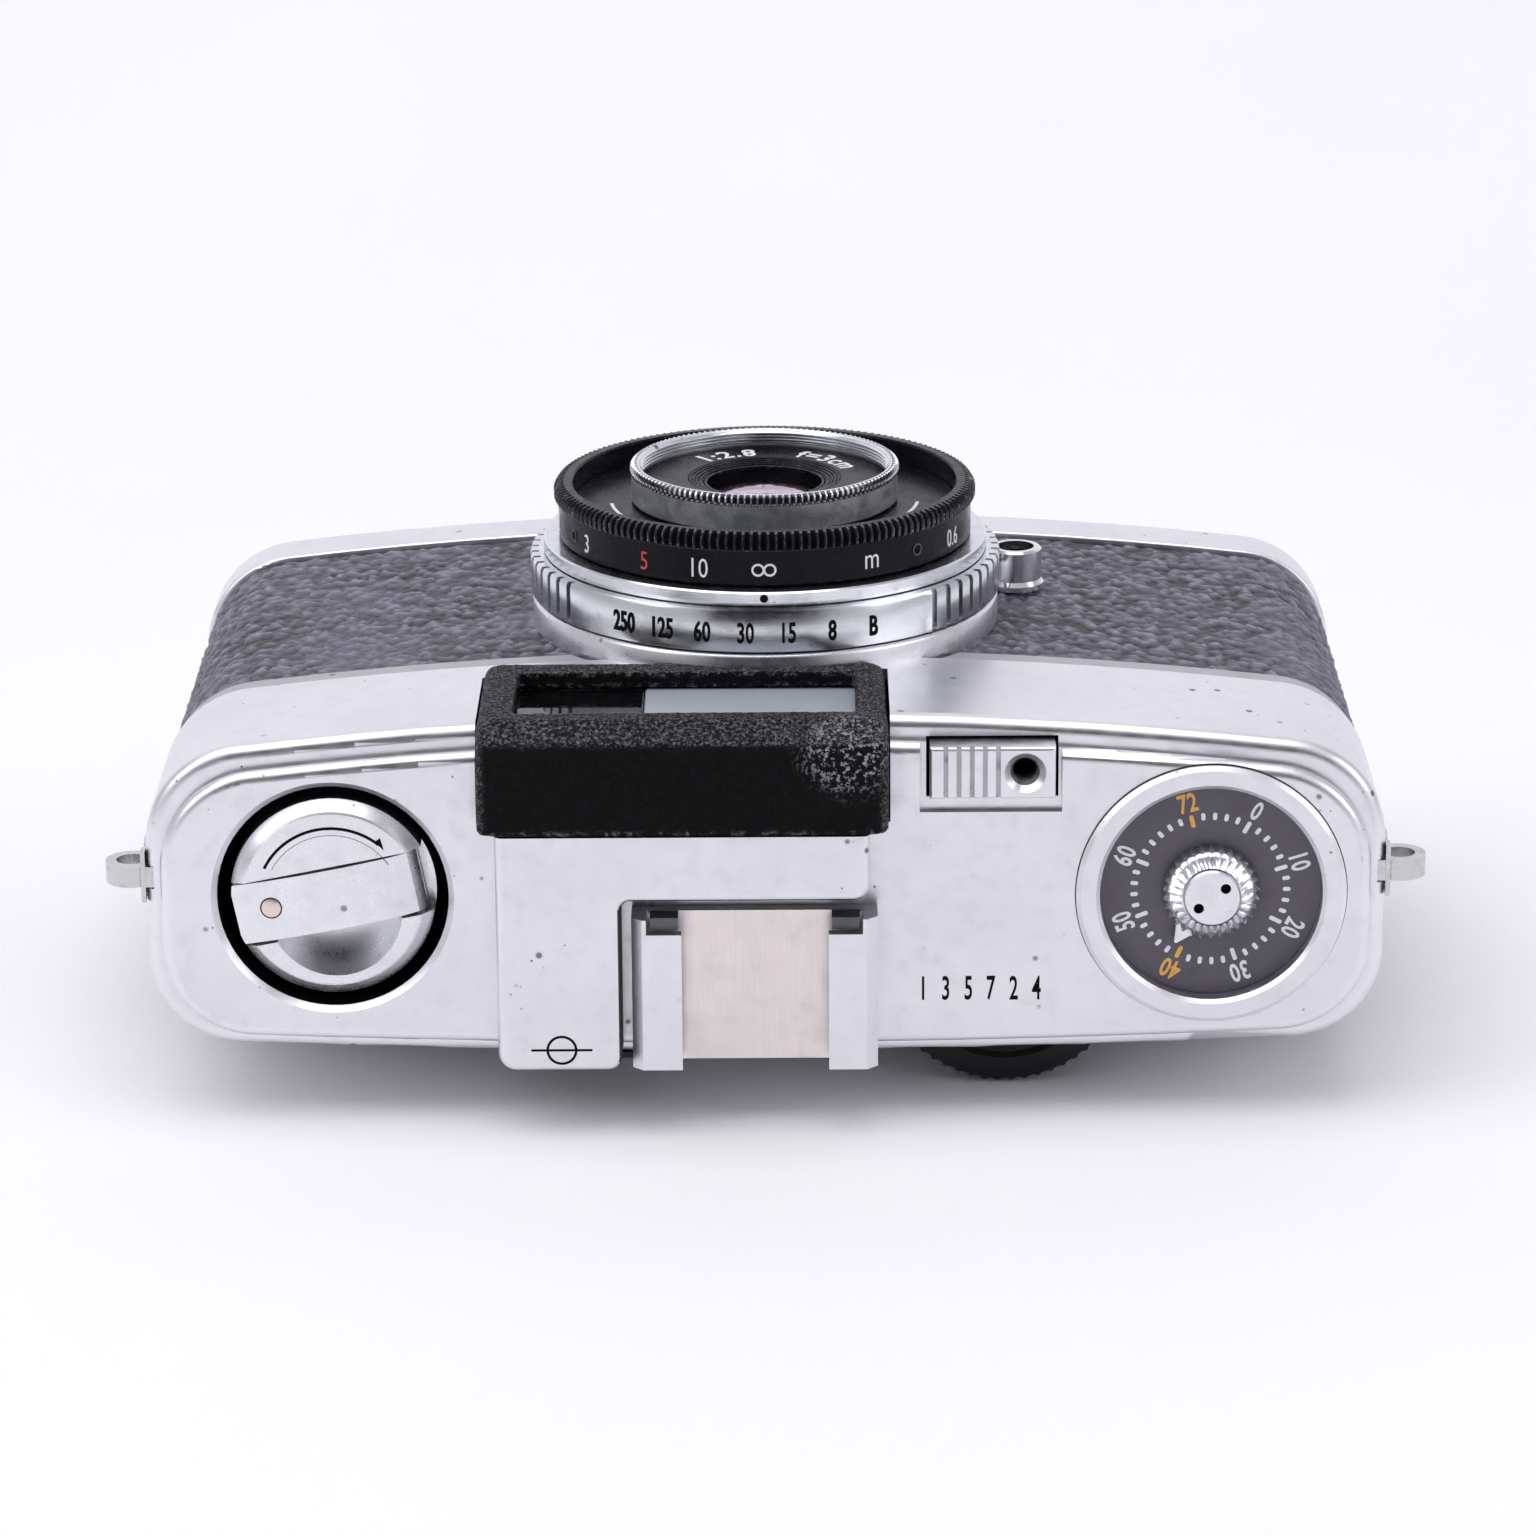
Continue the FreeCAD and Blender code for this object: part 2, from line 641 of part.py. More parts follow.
# lock key: outside disc, shaft through the floor, latch bar above it
key = turned_z("lock_key_turned", [
    (0, 0.35), (8.9, 0.35), (8.9, 1.4), (4.6, 1.4), (4.6, 1.46), (2.5, 1.46),
    (2.5, 2.5), (2.5, 4.4), (0, 4.4)], *REWIND)
latch_bar = box("latch_bar", dim.rewind_x - 8.2, dim.rewind_y - 2.2, 3.5,
                dim.rewind_x + 8.2, dim.rewind_y + 2.2, 4.4)
# ring groove for the folding handle
groove = cut("handle_groove", rod("handle_groove_o", *REWIND, -0.2, 7.8, 1.35),
             rod("handle_groove_i", *REWIND, -0.3, 5.4, 1.5))
keep("lock_key", cut("lock_key_cut", fuse("lock_key_fused", key, latch_bar), groove))

# folding half ring handle, lying in the groove
bail_ring = cut("bail_ring", rod("bail_o", *REWIND, 0.45, 7.5, 0.5),
                rod("bail_i", *REWIND, 0.3, 5.9, 0.8))
bail_half = box("bail_half", dim.rewind_x - 9, dim.rewind_y - 0.5, 0.2,
                dim.rewind_x + 9, dim.rewind_y + 9, 1.2)
keep("lock_bail", common("bail", bail_ring, bail_half))

# rewind release button
keep("rewind_button", turned_z("rewind_button_turned", [
    (0, 0.3), (2.3, 0.3), (2.5, 0.5), (2.5, 2.55), (3.3, 2.55), (3.3, 3.1),
    (1.2, 3.1), (1.2, 6.95), (0, 6.95)], *SPROCKET))

# ---- top cover --------------------------------------------------------------
plateau, hump, wall = dim.plateau_z, dim.hump_z, dim.cover_wall
HUMP_FRONT_Y = -7.6
cover = new_body("cover_shell")
last = pad(cover, "skirt", TOP, dim.cover_bottom, outline(0), dim.shoulder_z - dim.cover_bottom)
last = fillet(cover, last, "skirt_round", at_z(dim.shoulder_z), 1.15)
last = pad(cover, "plateau", TOP, dim.shoulder_z - 1.0, outline(0, PLATEAU_EDGE),
           plateau - dim.shoulder_z + 1.0)
last = fillet(cover, last, "plateau_round", at_z(plateau), 1.0)
# L shaped hump: a bar across the finder and a leg to the eyepiece
last = pad(cover, "hump", TOP, plateau - 4.0, rounded(
    [(dim.hump_x0, HUMP_FRONT_Y), (dim.hump_x1, HUMP_FRONT_Y), (dim.hump_x1, 15.0),
     (dim.hump_leg, 15.0), (dim.hump_leg, -dim.hump_bar), (dim.hump_x0, -dim.hump_bar)],
    [0, 0, 1.6, 1.2, 0.8, 1.6]), hump - plateau + 4.0)
fillet(cover, last, "hump_round", lambda edge: at_z(hump)(edge) and edge.YMax > -7.5, 0.75)
pocket(cover, "inside", TOP, dim.cover_bottom, outline(wall),
       dim.shoulder_z - 0.9 - dim.cover_bottom)
pocket(cover, "inside_top", TOP, dim.cover_bottom + 12, outline(wall, PLATEAU_EDGE),
       plateau - wall - dim.cover_bottom - 12)
bar_inside = -dim.hump_bar - wall
pocket(cover, "inside_hump", TOP, plateau - 6.0, poly(
    [(dim.hump_x0 + wall, HUMP_FRONT_Y), (dim.hump_x1 - wall, HUMP_FRONT_Y),
     (dim.hump_x1 - wall, 13.9), (dim.hump_leg + wall, 13.9),
     (dim.hump_leg + wall, bar_inside), (dim.hump_x0 + wall, bar_inside)]),
    hump - plateau + 5.0)
pocket(cover, "finder_bay", TOP, dim.finder_low - 0.15,
       rect(dim.finder_x0 - 0.18, -20, dim.finder_x1 + 0.18, -dim.finder_rear + 0.12), 30)
# rewind well with its sheet metal cup
WELL_CUP_Z = 59.6
pad(cover, "well_cup", TOP, WELL_CUP_Z, circle(*REWIND, dim.well_r + 0.7),
    plateau - 0.5 - WELL_CUP_Z)
pocket(cover, "well", TOP, 60.3, circle(*REWIND, dim.well_r), 10)
last = pocket(cover, "well_hole", TOP, 59.0, circle(*REWIND, 5.0), 2.0)
fillet(cover, last, "well_bevel", lambda edge: (
    at_z(plateau)(edge) and abs(edge.XLength - 2 * number(dim.well_r)) < 0.05), 0.5, "Chamfer")
# counter seat, release opening with its recess, holes for the shoe screws
pocket(cover, "counter_seat", TOP, plateau - 3.0, circle(*COUNTER, 10.4), 5.0)
pocket(cover, "release_slot", TOP, plateau - 4.0,
       rect(dim.button_x0 - 0.3, dim.button_y0 - 0.3,
            dim.button_x1 + 0.3, dim.button_y1 + 0.3), 6.0)
pocket(cover, "release_recess", TOP, plateau - 0.7, rect(-25.5, -13.5, -13.3, -7.1), 3.0)
pocket(cover, "shoe_holes", TOP, plateau - 4.0, shoe_screw_circles(SCREW_HOLE_R), 5.0)
# rear: eyepiece opening, wheel slot and cover screw holes
pocket(cover, "eyepiece_hole", FRONT, -13.0, rect(11.1, 57.1, 20.9, 64.1), 4.0, along=False)
pocket(cover, "wheel_slot", FRONT, -12.0,
       rect(dim.wheel_x - 10.6, dim.wheel_low - 0.3, dim.wheel_x + 10.6, dim.wheel_top + 0.3),
       6.0, along=False)
pocket(cover, "screw_holes", FRONT, -11.0,
       circles(*((side * COVER_SCREW_X, COVER_SCREW_Z, SCREW_HOLE_R) for side in (-1, 1))),
       5.0, along=False)
# side slots for the strap lugs
for name, x in (("lug_slot_a", 50.0), ("lug_slot_b", -50.0)):
    pocket(cover, name, SIDE, x, rect(-2.0, dim.lug_z - 2.4, 0.05, dim.lug_z + 2.4), 5.0,
           along=x > 0)
keep("top_cover", cover)

# screws that hold the cover to the casting, through its rear skirt
screws = []
for i, side in enumerate((-1, 1)):
    x, z = side * COVER_SCREW_X, COVER_SCREW_Z
    screws.append(slotted_screw(
        i, "cover", rod(f"cover_screw_head{i}", x, 14.62, z, 1.6, 0.6, ALONG_Y),
        rod(f"cover_screw_shank{i}", x, 13.0, z, 0.9, 1.7, ALONG_Y),
        box(f"cover_screw_slot{i}", x - 1.7, 15.0, z - 0.15, x + 1.7, 15.4, z + 0.15)))
keep("cover_screws", fuse("cover_screw_pair", *screws))

# ---- finder -----------------------------------------------------------------
frame = new_body("finder_frame_body")
last = pad(frame, "block", SIDE, dim.finder_x0, poly(
    [(-dim.finder_front, dim.finder_low), (-dim.finder_front, plateau + 1.2), (-14.6, hump),
     (-dim.finder_rear, hump), (-dim.finder_rear, dim.finder_low)]),
    dim.finder_x1 - dim.finder_x0)
last = fillet(frame, last, "side_edges", lambda edge: (
    edge.XLength < 0.01 and (edge.ZMin > 67.9 or edge.ZLength > 14) and edge.YMin < -7), 1.3)
fillet(frame, last, "brow_edges", lambda edge: (
    edge.XLength > 20 and edge.ZMin > 67.9 and edge.YMin < -14), 0.5)
# opening through the front, and the wider hollow behind it
pocket(frame, "opening", FRONT, dim.finder_front + 1,
       rect(dim.window_x0, dim.window_z0, dim.window_x1, dim.window_z1), 4.0, along=False)
pocket(frame, "hollow", FRONT, dim.finder_rear - 1,
       rect(dim.finder_x0 + 1.5, dim.finder_low + 1.2, dim.finder_x1 - 1.5, hump - 1.3),
       dim.finder_front - dim.finder_rear + 1 - 1.5)
keep("finder_frame", frame)


def pane(label, name, x0, y0, z0, x1, y1, z1, bevel):
    """Flat upright plate with its front and rear edges bevelled."""
    body = new_body(name)
    slab = pad(body, "sheet", FRONT, -y1, rect(x0, z0, x1, z1), y1 - y0)
    fillet(body, slab, "edge", lambda edge: edge.YLength < 0.01, bevel, "Chamfer")
    keep(label, body)


pane("finder_window", "clear_pane", 10.5, -14.35, 54.0, 22.3, -13.4, 66.9, bevel=0.15)
pane("bright_window", "frosted_pane", -8.7, -14.35, 54.0, 10.4, -13.4, 66.9, bevel=0.15)

# optical bed: a floor with three walls
bed = new_body("finder_bed_body")
pad(bed, "floor", TOP, 53.4, rect(-8.6, -13.2, 22.4, 12.6), 1.0)
for name, profile in (("wall_a", rect(21.4, -13.2, 22.4, 12.6)),
                      ("wall_b", rect(-8.6, -12.0, -7.8, 3.6)),
                      ("wall_c", rect(9.6, -13.2, 10.3, -4.6))):
    pad(bed, name, TOP, 54.3, profile, 10.9)
keep("finder_bed", bed)

# negative front lens, hollowed on its rear face
objective = new_body("objective_block")
pad(objective, "block", FRONT, 9.6, rect(10.9, 54.6, 21.0, 65.2), 2.6)
dish = doc.addObject("Part::Sphere", "objective_dish")
dish.Radius = 9.0
place(dish, 16.0, -1.9, 59.9)
keep("finder_objective", cut("objective_cut", objective, dish))


def diagonal_plate(label, name, x, y, width, thickness, z0, z1):
    """Upright plate centred on x, y and turned 45 degrees about z."""
    solid = doc.addObject("Part::Box", name)
    solid.Length = width
    solid.Width = thickness
    solid.Height = z1 - z0
    turn = Rotation(Vector(0, 0, 1), 45.0)
    corner = turn.multVec(Vector(-width / 2.0, -thickness / 2.0, 0))
    solid.Placement = Placement(Vector(x, y, z0) + corner, turn)
    keep(label, solid)


diagonal_plate("beam_splitter", "splitter_glass", 15.9, 1.2, 13.2, 0.8, 54.5, 64.8)
diagonal_plate("finder_mirror", "mirror_glass", 1.4, -2.6, 12.6, 1.0, 54.5, 65.6)
pane("eyepiece_lens", "eyepiece_glass", 11.9, 10.4, 57.6, 20.1, 12.2, 63.6, bevel=0.3)

bezel = new_body("eyepiece_bezel_body")
pad(bezel, "flange", FRONT, -16.1, rect(10.2, 56.2, 21.8, 65.0), 0.62)
last = pad(bezel, "spigot", FRONT, -15.5, rect(11.2, 57.2, 20.8, 64.0), 2.9)
last = fillet(bezel, last, "corners", lambda edge: (
    edge.YLength > 0.5 and edge.YMax > 15.9 and edge.XLength < 0.01), 1.2)
fillet(bezel, last, "round", lambda edge: edge.YMin > 16.05, 0.3)
keep("eyepiece_bezel", cut("eyepiece_bezel_cut", bezel,
                           box("eyepiece_aperture", 12.2, 11.0, 58.0, 19.8, 18.0, 63.2)))

# ---- accessory shoe ---------------------------------------------------------
shoe = new_body("shoe_body")
x0, x1 = dim.shoe_x0, dim.shoe_x1
inside_x0, inside_x1 = x0 + dim.shoe_wall, x1 - dim.shoe_wall
rail_z = hump - 1.05
# channel section with a rail turned in over each side
pad(shoe, "section", FRONT, -dim.shoe_y1, poly([
    (x0, plateau + 0.02), (x1, plateau + 0.02), (x1, hump - 0.9), (x1 - 0.9, hump),
    (7.2, hump), (7.2, rail_z), (inside_x1, rail_z), (inside_x1, plateau + 0.95),
    (inside_x0, plateau + 0.95), (inside_x0, rail_z), (-5.43, rail_z), (-5.43, hump),
    (x0 + 0.9, hump), (x0, hump - 0.9)]), dim.shoe_y1 - dim.shoe_y0)
pocket(shoe, "notch_a", TOP, hump - 1.06, rect(inside_x0, 0.5, -5.0, 2.55), 2.0)
pocket(shoe, "notch_b", TOP, hump - 1.06, rect(7.0, 0.5, inside_x1, 2.55), 2.0)
pocket(shoe, "screw_holes", TOP, plateau - 1, shoe_screw_circles(SCREW_HOLE_R), 3.0)
pocket(shoe, "head_seats", TOP, plateau + 0.5, shoe_screw_circles(1.68), 1.0)
keep("accessory_shoe", shoe)

screws = []
for i, (x, y) in enumerate(SHOE_SCREWS):
    screws.append(slotted_screw(
        i, "shoe", rod(f"shoe_shank{i}", x, y, plateau - 2.6, 0.92, 3.3),
        rod(f"shoe_head{i}", x, y, plateau + 0.53, 1.6, 0.38),
        box(f"shoe_slot{i}", x - 1.7, y - 0.15, plateau + 0.7,
            x + 1.7, y + 0.15, plateau + 1.2)))
keep("shoe_screws", fuse("shoe_screw_set", *screws))

# spring sheet on the shoe floor, with two bent tabs at its front edge
shoe_spring = new_body("shoe_spring_body")
pad(shoe_spring, "sheet", TOP, plateau + 0.97,
    rect(inside_x0 + 0.05, 1.25, inside_x1 - 0.05, 14.85), 0.28)
for name, rise, rear, height in (("tab_", 1.2, 1.6, 1.9), ("lip_", 2.75, 2.4, 0.35)):
    for tag, x in (("a", 7.5), ("b", -8.1)):
        pad(shoe_spring, name + tag, TOP, plateau + rise, rect(x, 1.3, x + 2.4, rear), height)
keep("shoe_spring", shoe_spring)

# ---- frame counter ----------------------------------------------------------
ring_out, ring_in = dim.bezel_out, dim.bezel_in
keep("counter_bezel", turned_z("bezel_turned", [
    (8.9, 64.5), (10.33, 64.5), (10.33, plateau + 0.02), (ring_out, plateau + 0.02),
    (ring_out, plateau + 0.3), (ring_out - 0.4, plateau + 0.62),
    (ring_in + 0.35, plateau + 0.62), (ring_in, plateau + 0.3), (ring_in, 65.2), (8.9, 65.2)],
    *COUNTER))
keep("counter_dial", turned_z("dial_turned", [
    (2.3, 65.22), (ring_in - 0.04, 65.22), (ring_in - 0.04, 65.8), (2.3, 65.8)], *COUNTER))

# fluted setting knob with its pointer
knob_r = dim.counter_knob_r
knob = turned_z("knob_turned", [
    (1.25, 64.6), (2.1, 64.6), (2.1, 66.0), (knob_r - 0.25, 66.0), (knob_r, 66.25),
    (knob_r, 67.3), (knob_r - 0.55, 68.1), (2.6, 68.1), (2.6, 67.6), (1.25, 67.6)])
polar(knob, pocket(knob, "flute", TOP, 65.5, circle(knob_r + 0.12, 0, 0.3), 3.0), 30)
place(knob, *COUNTER)
pointer = new_body("counter_pointer")
pad(pointer, "arrow", TOP, 66.15,
    poly([(3.6, -1.25), (5.6, -0.06), (5.6, 0.06), (3.6, 1.25)]), 0.5)
pointer_angle = math.degrees(math.atan2(0.839, 0.545))
place(pointer, *COUNTER, 0, Rotation(Vector(0, 0, 1), pointer_angle))
keep("counter_knob", fuse("counter_knob_fused", knob, pointer))

# cap on a long pin, with two spanner holes
cap = turned_z("cap_turned", [
    (0, 58.2), (1.2, 58.2), (1.2, 67.62), (2.5, 67.62), (2.5, 68.25), (2.35, 68.45),
    (0, 68.45)], *COUNTER)
span_holes = fuse("span_holes", *(
    rod(name, dim.counter_x + side * 1.15, dim.counter_y + side * 0.89, 67.9, 0.45, 2)
    for name, side in (("span_a", 1), ("span_b", -1))))
keep("counter_cap", cut("cap_cut", cap, span_holes))


# ---- drive gears and ratchet ------------------------------------------------
def toothed_disc(label, polar_points, bore, centre, z, height):
    """Bored disc from (radius, angle) points, with its lower face at z."""
    points = [Vector(radius * math.cos(angle), radius * math.sin(angle), 0)
              for radius, angle in polar_points]
    face = Part.Face(Part.makePolygon(points + [points[0]]))
    solid = face.extrude(Vector(0, 0, height))
    solid = solid.cut(Part.makeCylinder(bore, height + 2, Vector(0, 0, -1)))
    disc = doc.addObject("Part::Feature", label + "_wheel")
    disc.Shape = solid.Solids[0]
    keep(label, place(disc, *centre, z))


def spur_gear(label, teeth, centre, phase, low, top, bore):
    """Spur wheel with involute flanks at 20 degrees of pressure."""
    backlash = 0.14         # on the pitch circle
    addendum, dedendum = 0.8, 1.25          # in modules
    flank_points = 6
    module = number(dim.gear_module)
    pressure_angle = math.radians(20)
    pitch_r = module * teeth / 2.0
    base_r = pitch_r * math.cos(pressure_angle)
    tip_r = pitch_r + addendum * module
    foot_r = pitch_r - dedendum * module
    involute = math.tan(pressure_angle) - pressure_angle
    half_tooth = math.pi / (2 * teeth) - backlash / (2 * pitch_r) + involute
    start_r = max(foot_r, base_r)
    flank = []
    for j in range(flank_points):
        radius = start_r + (tip_r - start_r) * j / (flank_points - 1)
        roll = math.acos(min(1.0, base_r / radius))
        flank.append((radius, half_tooth - (math.tan(roll) - roll)))
    if foot_r < base_r:
        flank.insert(0, (foot_r, flank[0][1]))
    points = []
    for k in range(teeth):
        middle = phase + 2 * math.pi * k / teeth
        points += [(radius, middle - angle) for radius, angle in flank]
        points += [(radius, middle + angle) for radius, angle in reversed(flank)]
    toothed_disc(label, points, bore, centre, low, number(top) - number(low))


def mesh_with_idler(centre, teeth):
    """Phase of a gear at centre that meshes with the idler, itself at phase 0."""
    (idler_x, idler_y), (x, y) = plain(IDLER), plain(centre)
    bearing = math.atan2(y - idler_y, x - idler_x)
    offset = -bearing % (2 * math.pi / IDLER_TEETH)
    return bearing + math.pi + math.pi / teeth - offset * IDLER_TEETH / teeth


# two layers of gears above the deck; the idler runs through both
lower = (dim.deck_top + 0.3, dim.deck_top + 1.5)
upper = (dim.deck_top + 1.7, dim.deck_top + 2.9)
spur_gear("idler_gear", IDLER_TEETH, IDLER, 0.0, lower[0], upper[1], 1.25)
for label, teeth, centre, layer, bore in (
        ("wheel_gear", WHEEL_TEETH, WHEEL, upper, 1.55),
        ("sprocket_gear", SPROCKET_TEETH, SPROCKET, lower, 1.5),
        ("spool_gear", SPOOL_TEETH, COUNTER, lower, 1.5)):
    spur_gear(label, teeth, centre, mesh_with_idler(centre, teeth), *layer, bore)

# counter ratchet of saw teeth
saw_teeth = []
saw_pitch = 2 * math.pi / RATCHET_TEETH
for k in range(RATCHET_TEETH):
    angle = saw_pitch * k
    saw_teeth += [(8.1, angle), (8.6, angle + 0.002), (8.1, angle + saw_pitch - 0.004)]
toothed_disc("counter_ratchet", saw_teeth, 1.22, COUNTER, 59.2, 0.8)

# ---- film drive -------------------------------------------------------------
wheel_r, wheel_low, wheel_top = dim.wheel_r, dim.wheel_low, dim.wheel_top
advance = turned_z("wheel_turned", [
    (1.56, wheel_low), (wheel_r - 0.3, wheel_low), (wheel_r, wheel_low + 0.3),
    (wheel_r, wheel_top - 0.3), (wheel_r - 0.3, wheel_top), (wheel_r - 2.2, wheel_top),
    (wheel_r - 2.6, wheel_top - 0.5), (3.2, wheel_top - 0.5), (3.2, wheel_top),
    (1.56, wheel_top)])
notch = pocket(advance, "notch", TOP, wheel_low - 1, circle(wheel_r + 0.25, 0, 0.55), 6.0)
polar(advance, notch, 56)
keep("advance_wheel", place(advance, *WHEEL))

# the sprocket and spool shafts end just above the lower gears
shaft_top = lower[1] + 0.02
sprocket = turned_z("sprocket_turned", [
    (0, 8.05), (1.5, 8.05), (1.5, 9.4), (3.4, 9.4), (3.4, 16.0), (5.35, 16.0), (5.35, 20.0),
    (4.4, 20.4), (4.4, 44.4), (5.35, 44.8), (5.35, 48.8), (3.4, 48.8), (3.4, 50.2),
    (1.5, 50.2), (1.5, shaft_top), (0, shaft_top)])
for tag, middle in (("low", 18.3), ("high", 46.5)):
    tooth = pad(sprocket, "tooth_" + tag, TOP, middle - 0.8,
                poly([(5.1, -0.85), (6.15, -0.4), (6.15, 0.4), (5.1, 0.85)]), 1.6)
    doc.recompute()
    polar(sprocket, tooth, 8, name="teeth_" + tag)
keep("film_sprocket", place(sprocket, *SPROCKET))

spool = turned_z("spool_turned", [
    (0, 7.0), (1.5, 7.0), (1.5, 9.2), (9.6, 9.2), (9.6, 10.2), (5.6, 10.2), (5.6, 49.6),
    (9.6, 49.6), (9.6, 50.4), (1.5, 50.4), (1.5, shaft_top), (0, shaft_top)])
polar(spool, pocket(spool, "film_slit", TOP, 13.0, rect(3.9, -0.55, 6.5, 0.55), 34.0), 6)
keep("take_up_spool", place(spool, *COUNTER))

# ---- release ----------------------------------------------------------------
button = new_body("release_block")
button_top = dim.button_top
block = pad(button, "block", TOP, button_top - 4.5,
            rect(dim.button_x0, dim.button_y0, dim.button_x1, dim.button_y1), 4.5)
fillet(button, block, "edges", at_z(button_top), 0.3)
for i in range(5):
    groove_x = -15.3 - i * 1.12
    pocket(button, f"groove{i}", TOP, button_top - 0.45,
           rect(groove_x - 0.42, -14, groove_x, -8), 1.0)
pocket(button, "cable", TOP, button_top - 4.0, circle(*CABLE, dim.cable_r), 5.0)
countersink = doc.addObject("Part::Cone", "cable_countersink")
set_length(countersink, "Radius1", dim.cable_r)
set_length(countersink, "Radius2", dim.cable_r + 0.55)
countersink.Height = 0.55
place(countersink, *CABLE, button_top - 0.54)
keep("release_button", fuse("release_fused", cut("release_block_cut", button, countersink),
                            rod("release_rod_bar", *RELEASE_ROD, 50.75, 1.15, 13.05),
                            rod("release_rod_collar", *RELEASE_ROD, 62.6, 2.1, 0.5)))


def coil(height, radius, pitch, wire):
    """Round wire compression spring; wire is the radius of the wire."""
    helix = Part.makeHelix(pitch, height - 2 * wire, radius)
    section = Part.Wire([Part.makeCircle(wire, Vector(radius, 0, 0), Vector(0, 1, 0))])
    shape = Part.Wire(helix.Edges).makePipeShell([section], True, True)
    shape.translate(Vector(0, 0, wire))
    return shape


SPRING_WIRE = 0.28
spring = doc.addObject("Part::Feature", "spring_wire")
spring.Shape = coil(height=10.4, radius=1.75, pitch=1.7, wire=SPRING_WIRE)
keep("release_spring", place(spring, *RELEASE_ROD, dim.deck_top + 0.1 + SPRING_WIRE))

# ---- rewind -----------------------------------------------------------------
top, disc_r, fork_r = dim.disc_top, dim.disc_r, dim.fork_r
keep("rewind_collar", turned_z("collar_turned", [
    (fork_r + 0.06, 56.6), (4.2, 56.6), (4.2, 58.0), (fork_r + 0.06, 58.0)], *REWIND))


def place_on_rewind(obj):
    """Moves a shape built about the origin to the rewind axis, at the lie of the crank."""
    place(obj, *REWIND, 0, Rotation(Vector(0, 0, 1), number(dim.crank_angle)))
    bind(obj, "Placement.Rotation.Angle", dim.crank_angle)
    return obj


disc = turned_z("rewind_disc", [
    (fork_r + 0.005, 58.15), (4.4, 58.15), (4.4, 61.3), (disc_r - 0.5, 61.3), (disc_r, 61.8),
    (disc_r, top - 1.0), (disc_r - 0.95, top - 0.12), (disc_r - 1.15, top), (0, top),
    (0, 63.0), (fork_r + 0.005, 63.0)])
# slot for the crank, open at both ends and shallower at the free end
pocket(disc, "slot", TOP, top - 3.4, rect(-8.35, -2.9, 12.0, 2.9), 6.0)
pocket(disc, "slot_end", TOP, top - 2.9, rect(-12.0, -2.9, -8.0, 2.9), 6.0)
scoop = common("scoop_half",
               rod("finger_scoop", 0, 0.55, top - 1.9, 5.8, 6.0, Rotation(Vector(1, 0, 0), -14)),
               box("scoop_side", -10, -1.0, 60, 10, 10, 75))
crank_pin = rod("crank_pin_rod", -7.0, -5.0, top - 2.1, 0.5, 10.0, ALONG_Y)
rewind_knob = fuse("rewind_knob_fused", cut("rewind_disc_scooped", disc, scoop), crank_pin)
keep("rewind_knob", place_on_rewind(common(
    "rewind_knob_trimmed", rewind_knob, rod("rewind_envelope", 0, 0, 57.0, disc_r, 12.0))))

fork = turned_z("fork_shaft", [(0, 48.6), (fork_r, 48.6), (fork_r, 62.95), (0, 62.95)])
pocket(fork, "fork_gap", TOP, 48.0, rect(-0.8, -4, 0.8, 4), 3.2)
keep("rewind_fork", place(fork, *REWIND))

# crank bar, crowned lengthwise, curling down round its pin
crank = new_body("crank_bar_body")
# x and depth below the top of the disc, negative where the bar stands above it
CRANK_SIDE = [
    (-6.0, 0.22), (-4.5, -0.02), (-1.5, -0.22), (2.0, -0.18), (5.5, 0.12), (8.55, 0.62),
    (8.55, 1.3), (5.4, 0.92), (2.0, 0.62), (-1.5, 0.6), (-4.3, 0.78), (-5.55, 1.05),
    (-6.0, 1.6), (-6.0, 2.85), (-7.75, 2.85), (-7.85, 1.4), (-7.1, 0.55)]
pad(crank, "side", FRONT, -2.7, poly([(x, top - depth) for x, depth in CRANK_SIDE]), 5.4)
bored = cut("crank_bored", crank, rod("crank_bore", -7.0, -4.0, top - 2.1, 0.56, 8.0, ALONG_Y))
end_trim = cut("end_trim", box("end_block", -10, -4, 60, 12, 4, 70),
               rod("end_round", 0, 0, 59, 8.75, 12))
keep("rewind_crank", place_on_rewind(fuse(
    "crank_and_grip", cut("crank_trimmed", bored, end_trim),
    rod("grip_peg", 5.6, 0, top - 3.2, 1.9, 2.45))))

# ---- strap lugs -------------------------------------------------------------
lugs = []
for i, side in enumerate((-1, 1)):
    lug_x, lug_z = dim.lug_x * side, dim.lug_z
    eye = rod(f"lug_eye{i}", lug_x, -1.9, lug_z, dim.lug_out, 1.85, ALONG_Y)
    x0, x1 = sorted((side * 51.3, side * 53.6))
    tongue = box(f"lug_tongue{i}", x0, -1.9, lug_z - 2.2, x1, -0.05, lug_z + 2.2)
    x0, x1 = sorted((side * 53.55, side * 53.95))
    flange = box(f"lug_plate{i}", x0, -3.3, lug_z - 2.3, x1, 1.3, lug_z + 2.3)
    hole = rod(f"lug_hole{i}", lug_x, -4.0, lug_z, dim.lug_hole, 8.0, ALONG_Y)
    lugs.append(cut(f"lug{i}", fuse(f"lug_raw{i}", eye, tongue, flange), hole))
keep("strap_lugs", fuse("lug_pair", *lugs))

